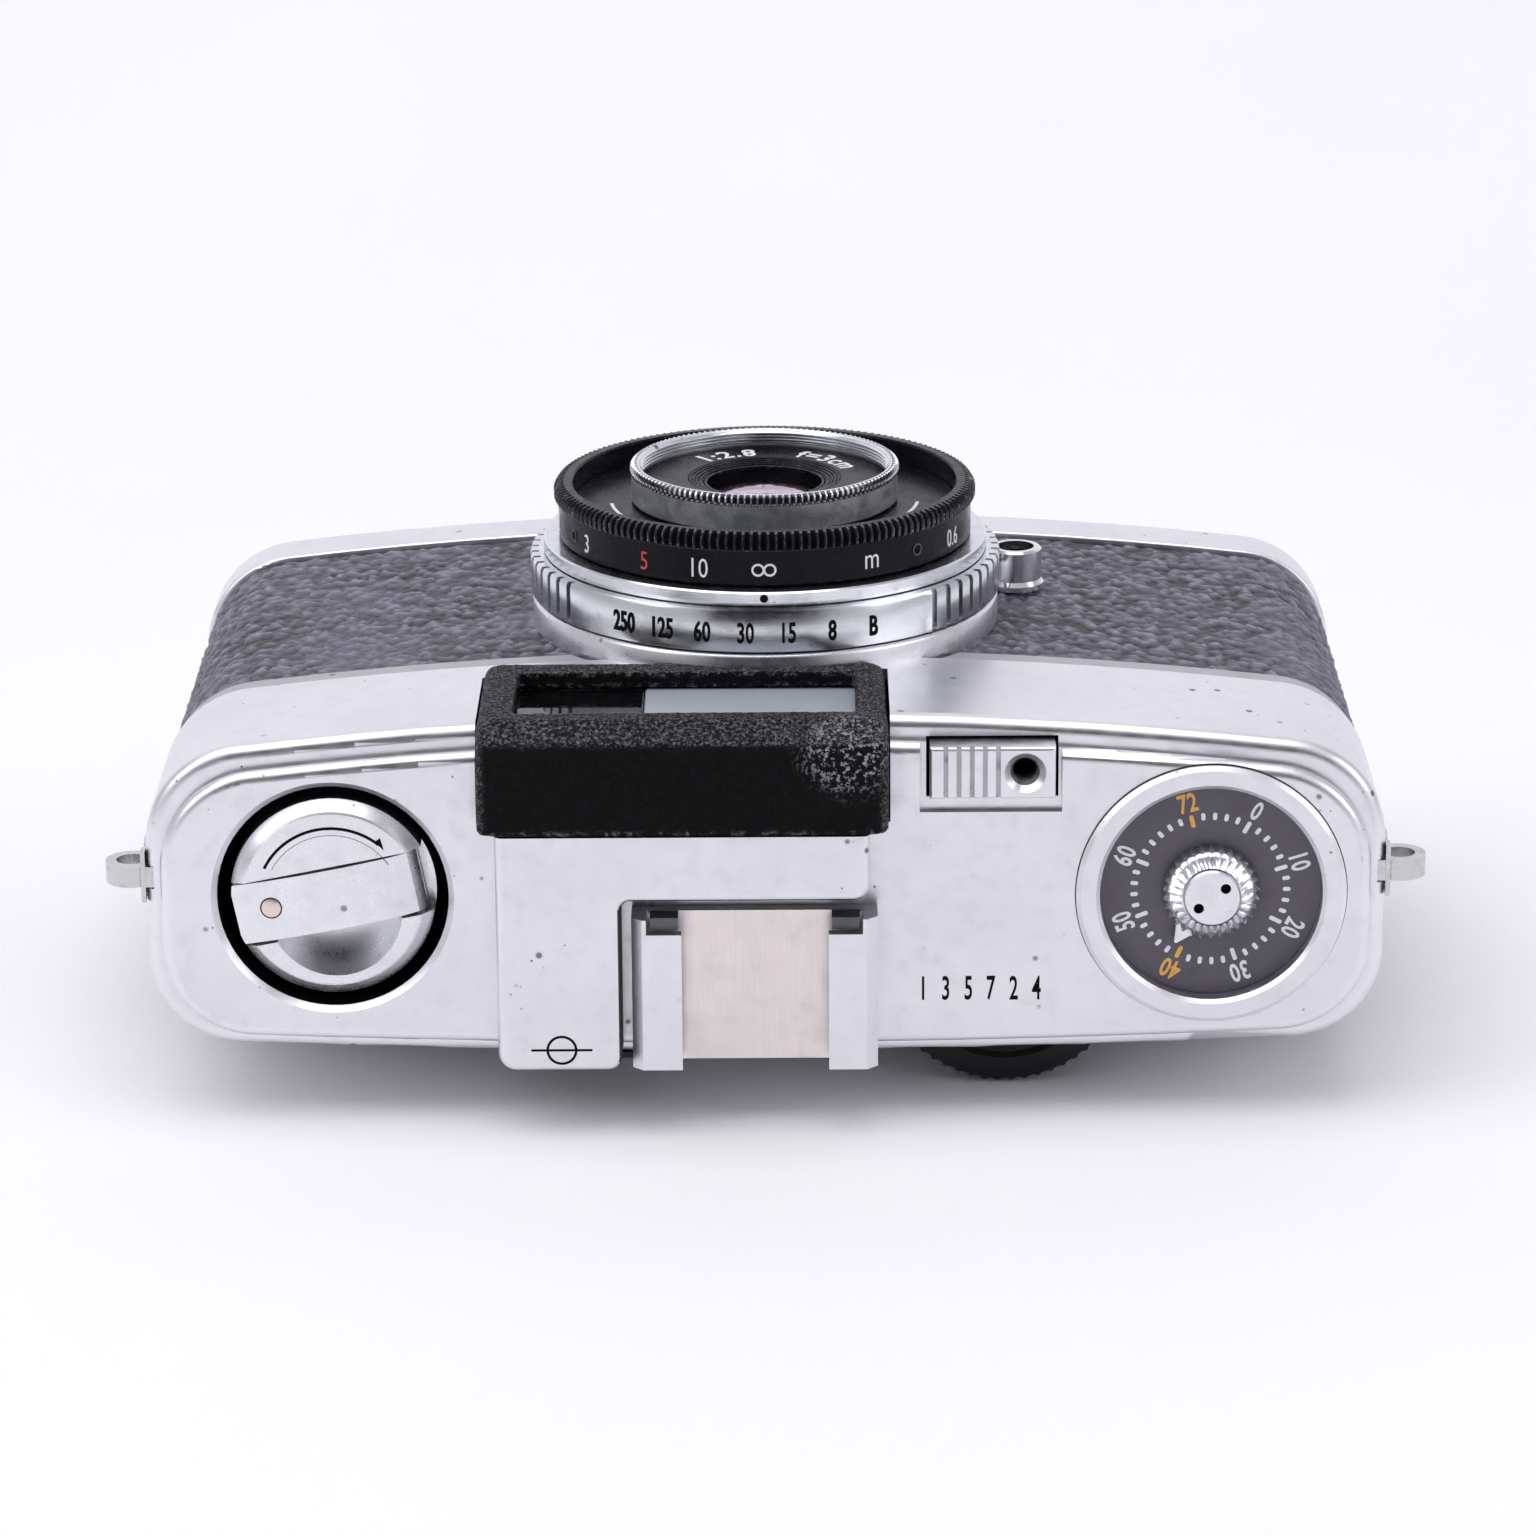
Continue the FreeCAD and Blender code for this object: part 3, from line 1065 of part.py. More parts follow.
# ---- flash socket -----------------------------------------------------------
keep("sync_socket", turned_y("sync_turned", [
    (-12.6, 1.25), (-12.6, 1.7), (-14.75, 1.7), (-14.75, 2.65), (-15.2, 2.65), (-15.6, 2.4),
    (-18.3, 2.4), (-18.5, 2.2), (-18.5, 1.7), (-15.6, 1.7), (-15.6, 1.25)], *SYNC))
keep("sync_contact", turned_y("sync_core", [
    (-12.7, 0), (-12.7, 1.22), (-16.6, 1.22), (-16.6, 0.5), (-17.4, 0.5), (-17.4, 0)], *SYNC))

# ---- lens and shutter -------------------------------------------------------
# flange, thinned from the front side's rear face above z = 45 outside a round boss
flange_r = dim.flange_r
flange = turned_y("flange_turned", [
    (-14.0, 9.0), (-14.0, flange_r - 0.02), (-16.9, flange_r - 0.02),
    (-17.1, flange_r - 0.2), (-17.1, 9.0)])
clearance = cut("flange_clear_ring", box("flange_clear", -25, -16.2, 45.0, 25, -13.0, 60),
                rod("flange_boss_keep", 0, -17.0, dim.lens_z, 15.4, 4.0, ALONG_Y))
keep("lens_flange", cut("flange_cut", flange, clearance))

# shutter case: rear wall, side wall and a hollow for the blades
keep("shutter_case", turned_y("case_turned", [
    (-17.15, 4.6), (-17.15, 19.2), (-20.9, 19.2), (-20.9, 17.6), (-17.85, 17.6),
    (-17.85, 4.6)]))
index_r = dim.index_r
keep("index_ring", turned_y("index_turned", [
    (-19.6, 7.4), (-19.6, 17.55), (-20.95, 17.55), (-20.95, 19.2), (-21.3, 19.2),
    (-21.3, index_r), (-22.35, index_r), (-22.5, index_r - 0.15), (-22.5, 13.0),
    (-24.4, 13.0), (-24.4, 11.6), (-20.35, 11.6), (-20.35, 7.4)]))

# speed ring, ribbed on both flanks and below; the top is left plain
speed_r = dim.speed_r
speed = turned_y("speed_turned", [
    (-17.2, 19.3), (-17.2, speed_r), (-20.9, speed_r), (-21.2, speed_r - 0.3), (-21.2, 19.3)])
gap = pocket(speed, "rib_gap", FRONT, 17.6, rect(-0.42, speed_r - 0.7, 0.42, speed_r + 1), 3.0)
polar(speed, gap, 53, "Y_Axis", "ribs", 260.0)
keep("speed_ring", place(speed, 0, 0, dim.lens_z, Rotation(Vector(0, 1, 0), 50.0)))

focus_r = dim.focus_r
keep("focus_ring", turned_y("focus_turned", [
    (-22.6, 13.05), (-22.6, focus_r - 0.4), (-22.8, focus_r - 0.2), (-26.0, focus_r - 0.2),
    (-26.2, focus_r), (-27.2, focus_r), (-27.47, focus_r - 0.3), (-27.47, 17.3),
    (-23.9, 17.3), (-23.9, 13.05)]))
keep("lens_barrel", turned_y("barrel_turned", [
    (-20.6, 9.6), (-20.6, 11.55), (-24.7, 11.55), (-24.7, 17.2), (-25.5, 17.2), (-25.5, 10.6),
    (-26.9, 10.6), (-26.9, 5.75), (-23.2, 5.75), (-23.2, 4.05), (-22.9, 4.05), (-22.9, 9.6)]))
aperture_r, filter_r = dim.aperture_r, dim.filter_r
keep("aperture_ring", turned_y("aperture_turned", [
    (-25.6, 10.65), (-25.6, aperture_r - 0.2), (-25.8, aperture_r), (-28.8, aperture_r),
    (-dim.lens_front, aperture_r - 0.2), (-dim.lens_front, filter_r + 0.15),
    (-28.8, filter_r), (-27.6, filter_r), (-27.6, filter_r + 0.35), (-26.97, filter_r + 0.35),
    (-26.97, 10.65)]))
keep("name_ring", turned_y("name_ring_turned", [
    (-26.95, 5.2), (-26.95, 10.5), (-27.02, 10.55), (-27.02, filter_r - 0.06),
    (-27.5, filter_r - 0.06), (-27.5, 7.9), (-27.3, 7.4), (-27.3, 6.9), (-27.1, 6.9),
    (-27.1, 5.2)]))


def lens_glass(label, y_front, y_rear, radius, front_ball, rear_ball):
    """Biconvex element; its two ball surfaces are drawn as short chords."""
    def surface(y, ball, side):
        points = []
        for i in range(7):
            height = radius * i / 6.0
            points.append((y + side * (ball - math.sqrt(ball ** 2 - height * height)), height))
        return points
    front = surface(y_front, front_ball, 1)
    rear = surface(y_rear, rear_ball, -1)
    keep(label, turned_y(label + "_glass", front + rear[::-1]))


lens_glass("front_element", -26.6, -24.3, radius=5.7, front_ball=14.0, rear_ball=40.0)
# cell of the rear group, behind the barrel
keep("rear_cell", turned_y("rear_cell_turned", [
    (-19.8, 5.35), (-19.8, 6.3), (-20.65, 6.3), (-20.65, 9.56), (-21.45, 9.56),
    (-21.45, 4.1), (-21.25, 4.1), (-21.25, 5.35)]))
lens_glass("rear_element", -21.2, -19.85, radius=5.3, front_ball=60.0, rear_ball=16.0)

BLADE_THICK = 0.12
# two leaf diaphragm: V notched leaves that slide across each other
# x and height above the lens axis, first the upper half, then its mirror and the notch
UPPER_HALF = [(-4.05, 6.5), (-7.0, 6.2), (-8.6, 3.8), (-9.3, 1.3)]
NOTCH = [(-4.05, -1.4), (-5.45, 0), (-4.05, 1.4)]
LEAF = UPPER_HALF + [(x, -z) for x, z in reversed(UPPER_HALF)] + NOTCH
for tag, front, side in (("a", -22.1, 1), ("b", -22.6, -1)):
    leaf = new_body("diaphragm_leaf_" + tag)
    pad(leaf, "leaf", FRONT, -front - BLADE_THICK,
        poly([(side * x, dim.lens_z + z) for x, z in LEAF]), BLADE_THICK)
    keep("aperture_blade_" + tag, leaf)

# two shutter blades: a round leaf and an arm to a pivot eye, the second turned half round
for tag, y, angle in (("a", -18.35, 0.0), ("b", -18.9, 180.0)):
    blade = new_body("shutter_leaf_" + tag)
    for name, profile in (
            ("leaf", circle(2.2, 0, 5.6)),
            ("arm", poly([(-1.2, 12.6), (1.2, 12.6), (4.4, 4.0), (0.0, 4.0)])),
            ("pivot", circle(0, 12.6, 1.6))):
        pad(blade, name, FRONT, 0, profile, BLADE_THICK)
    place(blade, 0, y, dim.lens_z, Rotation(Vector(0, 1, 0), angle))
    keep("shutter_blade_" + tag, blade)

# ---- check everything, then write one file for each piece -------------------
doc.recompute()
bad = [obj.Label + ":" + ",".join(obj.State) for obj in doc.Objects
       if "Invalid" in obj.State or "Error" in obj.State]
for label, obj in pieces.items():
    shape = obj.Shape
    if shape.isNull() or not shape.isValid() or not shape.Solids or shape.Volume <= 0:
        bad.append("shape " + label)
if bad:
    raise SystemExit("not written: " + "; ".join(bad))
os.makedirs("parts", exist_ok=True)
for label, obj in pieces.items():
    obj.Shape.exportStep(f"parts/{label}.step")
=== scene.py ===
import bpy, bmesh, math
import numpy as np
from mathutils import Vector, Matrix, noise
from mathutils.bvhtree import BVHTree

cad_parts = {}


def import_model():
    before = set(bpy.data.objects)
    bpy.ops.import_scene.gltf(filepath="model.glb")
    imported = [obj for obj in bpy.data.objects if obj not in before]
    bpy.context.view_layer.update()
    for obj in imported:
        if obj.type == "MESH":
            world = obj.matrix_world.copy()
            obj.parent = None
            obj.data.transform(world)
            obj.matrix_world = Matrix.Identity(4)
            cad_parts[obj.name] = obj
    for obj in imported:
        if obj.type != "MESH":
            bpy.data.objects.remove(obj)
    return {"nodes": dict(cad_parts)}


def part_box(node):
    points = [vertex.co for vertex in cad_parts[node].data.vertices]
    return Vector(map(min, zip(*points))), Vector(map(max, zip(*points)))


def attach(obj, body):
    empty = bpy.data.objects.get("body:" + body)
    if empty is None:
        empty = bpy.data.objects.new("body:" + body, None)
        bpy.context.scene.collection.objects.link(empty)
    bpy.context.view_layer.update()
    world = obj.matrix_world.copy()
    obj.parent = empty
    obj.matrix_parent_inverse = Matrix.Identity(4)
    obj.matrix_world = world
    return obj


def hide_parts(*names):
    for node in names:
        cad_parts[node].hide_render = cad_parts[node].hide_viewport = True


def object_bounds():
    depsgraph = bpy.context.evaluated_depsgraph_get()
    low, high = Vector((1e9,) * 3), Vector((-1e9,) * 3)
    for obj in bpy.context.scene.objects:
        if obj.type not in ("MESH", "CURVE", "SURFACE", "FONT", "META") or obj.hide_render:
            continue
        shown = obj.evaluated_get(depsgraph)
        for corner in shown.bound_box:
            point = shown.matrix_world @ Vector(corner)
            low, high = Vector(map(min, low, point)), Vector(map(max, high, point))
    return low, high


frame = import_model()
cad_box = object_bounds()
N = frame["nodes"]
MM = 0.001
rad = math.radians


def corners(node):
    a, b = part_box(node)
    return [v / MM for v in a], [v / MM for v in b]


# ---------------------------------------------------------------- materials
class G:
    def __init__(s, name):
        s.m = bpy.data.materials.new(name)
        s.m.use_nodes = True
        s.t = s.m.node_tree
        s.p = s.t.nodes["Principled BSDF"]
        s.c = s.n("ShaderNodeTexCoord")
        mp = s.n("ShaderNodeMapping")
        mp.inputs["Scale"].default_value = (1000, 1000, 1000)
        s.l(s.c.outputs["Object"], mp.inputs["Vector"])
        s.mm = mp.outputs["Vector"]

    def n(s, kind, **kw):
        x = s.t.nodes.new(kind)
        for k, v in kw.items():
            setattr(x, k, v)
        return x

    def l(s, a, b):
        s.t.links.new(a, b)

    def val(s, node, key, v):
        if hasattr(v, "links") or isinstance(v, bpy.types.NodeSocket):
            s.l(v, node.inputs[key])
        else:
            node.inputs[key].default_value = v

    def stretch(s, sc, src=None):
        mp = s.n("ShaderNodeMapping")
        mp.inputs["Scale"].default_value = sc
        s.l(src or s.mm, mp.inputs["Vector"])
        return mp.outputs["Vector"]

    def noise(s, scale, detail=3.0, rough=0.55, vec=None, distort=0.0):
        x = s.n("ShaderNodeTexNoise")
        s.l(vec or s.mm, x.inputs["Vector"])
        x.inputs["Scale"].default_value = scale
        x.inputs["Detail"].default_value = detail
        x.inputs["Roughness"].default_value = rough
        x.inputs["Distortion"].default_value = distort
        return x.outputs["Fac"]

    def voro(s, scale, feature="F1", vec=None):
        x = s.n("ShaderNodeTexVoronoi", feature=feature)
        s.l(vec or s.mm, x.inputs["Vector"])
        x.inputs["Scale"].default_value = scale
        return x

    def ramp(s, f, a, b, c=0.0, d=1.0, smooth=True):
        x = s.n("ShaderNodeMapRange", interpolation_type="SMOOTHSTEP" if smooth else "LINEAR")
        s.l(f, x.inputs["Value"])
        for k, v in zip(("From Min", "From Max", "To Min", "To Max"), (a, b, c, d)):
            x.inputs[k].default_value = v
        return x.outputs["Result"]

    def math(s, op, a, b=0.0):
        x = s.n("ShaderNodeMath", operation=op)
        s.val(x, 0, a)
        s.val(x, 1, b)
        return x.outputs[0]

    def mix(s, f, a, b):
        x = s.n("ShaderNodeMixRGB")
        s.val(x, "Fac", f)
        for k, v in (("Color1", a), ("Color2", b)):
            s.val(x, k, (*v, 1) if isinstance(v, tuple) and len(v) == 3 else v)
        return x.outputs["Color"]

    def bump(s, h, strength, dist_mm, prev=None):
        x = s.n("ShaderNodeBump")
        x.inputs["Strength"].default_value = strength
        x.inputs["Distance"].default_value = dist_mm * MM
        s.l(h, x.inputs["Height"])
        if prev is not None:
            s.l(prev, x.inputs["Normal"])
        return x.outputs["Normal"]

    def specks(s, scale, size, keep):
        v = s.voro(scale)
        sep = s.n("ShaderNodeSeparateColor")
        s.l(v.outputs["Color"], sep.inputs["Color"])
        dot = s.ramp(v.outputs["Distance"], size, size * 0.45, 0, 1)
        return s.math("MULTIPLY", dot, s.math("LESS_THAN", sep.outputs[0], keep))

    def edge(s, r_mm, lo=0.02, hi=0.2):
        """1 where a rounded edge would be, for worn edges."""
        b = s.n("ShaderNodeBevel", samples=4)
        b.inputs["Radius"].default_value = r_mm * MM
        g = s.n("ShaderNodeNewGeometry")
        d = s.n("ShaderNodeVectorMath", operation="DOT_PRODUCT")
        s.l(b.outputs["Normal"], d.inputs[0])
        s.l(g.outputs["Normal"], d.inputs[1])
        return s.ramp(s.math("SUBTRACT", 1.0, d.outputs["Value"]), lo, hi)


def metal(name, col, rough, grain=(6.0, 0.25, 0.02), spread=0.07, pits=0.0, dirt=0.25, tint=None, worn=None, brushed=None, metallic=1.0, spec=0.5):
    g = G(name)
    p = g.p
    big = g.noise(0.07, 3)
    mid = g.noise(0.55, 4, 0.6)
    vec = g.stretch(brushed) if brushed else None
    fine = g.noise(grain[0], 2, 0.6, vec)
    base = g.mix(g.ramp(big, 0.35, 0.68, 0, 0.6), col, tint or tuple(c * 0.93 for c in col))
    base = g.mix(g.math("MULTIPLY", g.ramp(mid, 0.50, 0.80), dirt), base, tuple(c * 0.62 for c in col))
    r = g.math("ADD", g.ramp(mid, 0.3, 0.75, rough - spread, rough + spread), g.math("MULTIPLY", g.math("SUBTRACT", fine, 0.5), 0.18))
    if brushed:
        base = g.mix(g.ramp(fine, 0.35, 0.7, 0, 0.22), base, tuple(c * 0.75 for c in col))
    if pits:
        a = g.specks(0.42, 0.17, pits)
        b = g.specks(1.05, 0.15, pits * 0.35)
        mask = g.math("MAXIMUM", a, b)
        mask = g.math("MULTIPLY", mask, g.ramp(g.noise(0.11, 2), 0.45, 0.62))
        base = g.mix(g.math("MULTIPLY", mask, 0.8), base, (0.09, 0.085, 0.09))
        r = g.math("ADD", r, g.math("MULTIPLY", mask, 0.3))
    p.inputs["Metallic"].default_value = metallic
    if worn:
        mask = g.math("MULTIPLY", g.edge(worn[1]), g.ramp(g.noise(1.1, 5, 0.65), 0.5 - worn[2], 0.62 - worn[2]))
        base = g.mix(mask, base, worn[0])
        g.l(g.math("MAXIMUM", mask, metallic), p.inputs["Metallic"])
    g.l(base, p.inputs["Base Color"])
    g.l(r, p.inputs["Roughness"])
    p.inputs["Specular IOR Level"].default_value = spec
    nrm = g.bump(fine, grain[1], grain[2])
    nrm = g.bump(mid, 0.05, 0.03, nrm)
    g.l(nrm, p.inputs["Normal"])
    return g


def skin_material():
    g = G("leatherette")
    p = g.p
    v = g.voro(1.25, "F1", None)
    fine = g.noise(9.0, 4, 0.65)
    mid = g.noise(1.7, 4, 0.6)
    big = g.noise(0.09, 3)
    at = g.n("ShaderNodeAttribute", attribute_name="grain")
    ht = at.outputs["Fac"]
    # pebble height from the sheet: the pebble tops are painted lighter, a painted highlight
    base = g.mix(g.ramp(ht, 0.45, 0.85), (0.085, 0.081, 0.110), (0.235, 0.225, 0.300))
    base = g.mix(g.ramp(mid, 0.50, 0.75, 0, 0.35), base, (0.060, 0.057, 0.080))
    # the valleys between the pebbles are painted near-black, a painted shade
    base = g.mix(g.ramp(ht, 0.46, 0.12), base, (0.010, 0.0095, 0.014))
    base = g.mix(g.ramp(big, 0.35, 0.7, 0, 0.45), base, (0.175, 0.165, 0.225))
    g.l(base, p.inputs["Base Color"])
    g.l(g.ramp(fine, 0.3, 0.7, 0.34, 0.58), p.inputs["Roughness"])
    p.inputs["Specular IOR Level"].default_value = 0.55
    nrm = g.bump(mid, 0.25, 0.08)
    nrm = g.bump(fine, 0.45, 0.03, nrm)
    g.l(nrm, p.inputs["Normal"])
    return g.m


def wrinkle():
    g = G("wrinkle_paint")
    p = g.p
    a = g.noise(2.6, 5, 0.7, distort=1.2)
    b = g.noise(8.0, 3, 0.6)
    g.l(g.ramp(b, 0.3, 0.75, 0.42, 0.78), p.inputs["Roughness"])
    wear_and_sheen = g.math("MULTIPLY", g.edge(0.9, 0.01, 0.16), g.ramp(g.noise(1.5, 6, 0.75), 0.50, 0.62))
    fleck = g.math("MULTIPLY", g.specks(0.5, 0.2, 0.5), g.ramp(g.noise(0.25, 2), 0.58, 0.68))
    dust = g.math("MULTIPLY", g.ramp(g.noise(5.5, 4, 0.7), 0.64, 0.76), 0.16)
    geo = g.n("ShaderNodeNewGeometry")
    sx = g.n("ShaderNodeSeparateXYZ")
    g.l(geo.outputs["Normal"], sx.inputs[0])
    # faces turned to the front and side lamps get light flecks over the wrinkles: a painted highlight
    front = g.math("MAXIMUM", g.ramp(g.math("MULTIPLY", sx.outputs["Y"], -1.0), 0.15, 0.75), g.ramp(g.math("ABSOLUTE", sx.outputs["X"], 0.0), 0.25, 0.85))
    lamp_side_sheen = g.math("MULTIPLY", g.math("MULTIPLY", front, g.ramp(g.noise(3.2, 5, 0.75), 0.46, 0.66)), 0.55)
    pos = g.n("ShaderNodeVectorMath", operation="DISTANCE")
    g.l(g.mm, pos.inputs[0])
    pos.inputs[1].default_value = (-7.2, -14.2, 70.5)
    chip = g.math("MULTIPLY", g.ramp(pos.outputs["Value"], 5.5, 2.0), g.ramp(g.noise(2.4, 4, 0.7), 0.53, 0.60))
    # worn edges, the chip and the painted highlight together
    wear_and_sheen = g.math("MAXIMUM", g.math("MAXIMUM", wear_and_sheen, lamp_side_sheen), chip)
    mask = g.math("MINIMUM", g.math("ADD", g.math("ADD", wear_and_sheen, fleck), dust), 1.0)
    base = g.mix(g.ramp(a, 0.4, 0.7, 0, 0.8), (0.0015, 0.0015, 0.002), (0.006, 0.0058, 0.0075))
    base = g.mix(g.math("MULTIPLY", mask, 0.75), base, (0.42, 0.41, 0.45))
    g.l(base, p.inputs["Base Color"])
    nrm = g.bump(a, 0.9, 0.16)
    nrm = g.bump(b, 0.6, 0.04, nrm)
    g.l(nrm, p.inputs["Normal"])
    p.inputs["Specular IOR Level"].default_value = 0.10
    return g.m


def glass(name, col, rough=0.02, ior=1.5, coat=None, frost=0.0):
    g = G(name)
    p = g.p
    mid = g.noise(0.6, 4, 0.6)
    smear = g.ramp(mid, 0.45, 0.75, rough, rough + 0.06)
    g.l(smear, p.inputs["Roughness"])
    p.inputs["Base Color"].default_value = (*col, 1)
    p.inputs["Transmission Weight"].default_value = 1.0 - frost
    p.inputs["IOR"].default_value = ior
    if coat:
        p.inputs["Coat Weight"].default_value = 1.0
        p.inputs["Coat Roughness"].default_value = 0.02
        p.inputs["Coat IOR"].default_value = 1.7
        p.inputs["Coat Tint"].default_value = (*coat, 1)
        lw = g.n("ShaderNodeLayerWeight")
        lw.inputs["Blend"].default_value = 0.35
        g.l(g.mix(lw.outputs["Facing"], col, coat), p.inputs["Base Color"])
        p.inputs["Specular Tint"].default_value = (*coat, 1)
    nrm = g.bump(g.noise(2.5, 3), 0.05 if not frost else 0.5, 0.01)
    g.l(nrm, p.inputs["Normal"])
    return g.m


def paint(name, col, rough=0.5, fade=0.5):
    g = G(name)
    wearn = g.noise(2.2, 5, 0.7)
    base = g.mix(g.math("MULTIPLY", g.ramp(wearn, 0.45, 0.8), fade), col, tuple(0.5 * c + 0.02 for c in col))
    g.l(base, g.p.inputs["Base Color"])
    g.l(g.ramp(g.noise(7, 3), 0.3, 0.7, rough - 0.1, rough + 0.1), g.p.inputs["Roughness"])
    g.l(g.bump(g.noise(9, 3), 0.3, 0.01), g.p.inputs["Normal"])
    return g.m


M = {}
M["satin"] = metal("satin_chrome", (0.80, 0.80, 0.84), 0.35, (5.5, 0.28, 0.018), 0.04, pits=0.34, dirt=0.14).m
M["satin_rw"] = metal("satin_chrome_fine", (0.79, 0.79, 0.83), 0.31, (6.0, 0.26, 0.015), 0.04, pits=0.28, dirt=0.22).m
M["apring"] = metal("satin_steel_blue", (0.80, 0.82, 0.86), 0.42, (4.0, 0.30, 0.020), 0.08, pits=0.5, dirt=0.45, metallic=0.92).m
# lighter, glossier copy of the black anodising for the serration tops: a painted highlight, with worn edges
M["ridge"] = metal("black_anodised_ridge", (0.030, 0.030, 0.034), 0.26, (6.0, 0.15, 0.01), 0.05, metallic=0.2, dirt=0.2, worn=((0.62, 0.62, 0.66), 0.12, -0.02), spec=0.75).m
# dark steel, also used as painted shade in the aperture knurl pockets and under the shoe rails
M["dark_steel_and_shade"] = metal("dark_steel_and_shade", (0.13, 0.13, 0.14), 0.38, (4.0, 0.3, 0.02), 0.06, dirt=0.4).m
M["groove"] = metal("satin_in_groove", (0.50, 0.50, 0.53), 0.42, (3.0, 0.5, 0.03), 0.06, pits=1.0, dirt=0.9).m
M["recess"] = metal("recess_shadow", (0.045, 0.044, 0.050), 0.55, (5.0, 0.3, 0.02), 0.05, metallic=0.5, dirt=0.3).m
# near-black painted shade for the rewind well, holes, recess walls and serration pockets
M["shade_black"] = metal("painted_shade_black", (0.004, 0.004, 0.005), 0.7, (5.0, 0.3, 0.02), 0.06, metallic=0.0, dirt=0.2, spec=0.08).m
M["bright"] = metal("bright_chrome", (0.80, 0.81, 0.84), 0.17, (5.0, 0.10, 0.010), 0.05, pits=0.20, dirt=0.30).m
M["turned"] = metal("turned_chrome", (0.77, 0.785, 0.82), 0.22, (2.2, 0.22, 0.012), 0.05, pits=0.30, dirt=0.35, brushed=(0.25, 9.0, 0.25)).m
M["steel"] = metal("steel", (0.52, 0.52, 0.54), 0.33, (4.0, 0.2, 0.015), 0.08, pits=0.3, dirt=0.4).m
M["spring"] = metal("spring_alloy", (0.83, 0.755, 0.745), 0.34, (2.6, 0.12, 0.008), 0.04, pits=0.12, dirt=0.22, brushed=(5.0, 0.10, 1.0)).m
M["lug"] = metal("worn_steel", (0.60, 0.595, 0.60), 0.27, (3.0, 0.25, 0.02), 0.09, pits=0.8, dirt=0.5).m
M["brass"] = metal("gear_brass", (0.66, 0.47, 0.20), 0.3, (5.0, 0.15, 0.01), 0.08, dirt=0.4).m
M["cast"] = metal("casting_paint", (0.020, 0.020, 0.023), 0.55, (4.0, 0.4, 0.03), 0.08, metallic=0.0, dirt=0.3, spec=0.3).m
M["lip"] = metal("grey_lip", (0.46, 0.44, 0.475), 0.48, (4.0, 0.3, 0.02), 0.06, pits=0.3, dirt=0.2, metallic=0.55).m
M["black"] = metal("black_paint", (0.014, 0.014, 0.016), 0.48, (6.0, 0.3, 0.02), 0.08, metallic=0.0, dirt=0.3, spec=0.25).m
M["anod"] = metal("black_anodised", (0.006, 0.006, 0.008), 0.27, (6.0, 0.18, 0.012), 0.06, metallic=0.0, dirt=0.2, worn=((0.50, 0.50, 0.53), 0.08, -0.05), spec=0.12).m
M["plastic"] = metal("black_plastic", (0.008, 0.008, 0.010), 0.40, (5.0, 0.25, 0.02), 0.07, metallic=0.0, dirt=0.25, worn=((0.06, 0.06, 0.07), 0.15, -0.03), spec=0.25).m
M["dial"] = metal("dial_paint", (0.105, 0.095, 0.122), 0.42, (8.0, 0.25, 0.012), 0.06, metallic=0.15, dirt=0.3, tint=(0.085, 0.078, 0.100), spec=0.5).m
M["mirror"] = metal("mirror_glass", (0.85, 0.85, 0.86), 0.05, (3.0, 0.03, 0.01), 0.02, dirt=0.1).m
M["skin"] = skin_material()
M["wrinkle"] = wrinkle()
M["clear"] = glass("clear_glass", (0.93, 0.95, 0.97), 0.015)
M["frost"] = glass("frosted_glass", (0.62, 0.66, 0.74), 0.35, frost=0.55)
M["coated"] = glass("coated_glass", (0.86, 0.84, 0.92), 0.01, 1.6, coat=(0.90, 0.80, 0.88))
M["ink_w"] = paint("ink_white", (0.80, 0.80, 0.80), 0.5, 0.35)
M["ink_o"] = paint("ink_orange", (0.80, 0.42, 0.07), 0.5, 0.30)
M["ink_r"] = paint("ink_red", (0.62, 0.07, 0.05), 0.5, 0.4)
M["ink_k"] = paint("ink_black", (0.006, 0.006, 0.007), 0.75, 0.0)
M["ink_k"].node_tree.nodes["Principled BSDF"].inputs["Specular IOR Level"].default_value = 0.06
M["rivet"] = metal("rivet_copper", (0.78, 0.66, 0.62), 0.33, (6.0, 0.25, 0.02), 0.05, dirt=0.4).m
M["gap"] = paint("shadow_gap", (0.012, 0.012, 0.012), 0.7, 0.2)

USE = {
    "satin": "top_cover back_shell accessory_shoe counter_bezel lens_flange lock_key release_button",
    "satin_rw": "rewind_knob rewind_crank counter_cap",
    "bright": "rewind_button lock_bail counter_knob sync_socket",
    "turned": "speed_ring index_ring", "apring": "aperture_ring",
    "steel": "cover_screws shoe_screws pressure_spring tripod_socket release_spring counter_ratchet rewind_fork",
    "spring": "shoe_spring", "lug": "strap_lugs",
    "brass": "wheel_gear idler_gear sprocket_gear spool_gear rewind_collar",
    "cast": "body_casting",
    "black": "eyepiece_bezel shutter_case pressure_plate film_sprocket aperture_blade_a aperture_blade_b shutter_blade_a shutter_blade_b finder_bed sync_contact",
    "anod": "focus_ring lens_barrel name_ring rear_cell",
    "plastic": "advance_wheel take_up_spool",
    "dial": "counter_dial", "mirror": "finder_mirror",
    "skin": "front_leatherette back_leatherette", "wrinkle": "finder_frame",
    "clear": "finder_window finder_objective beam_splitter eyepiece_lens", "frost": "bright_window",
    "coated": "front_element rear_element",
}
SMOOTH = {"counter_knob": 22, "aperture_ring": 25, "focus_ring": 25, "speed_ring": 25, "rewind_knob": 24, "rewind_crank": 28}
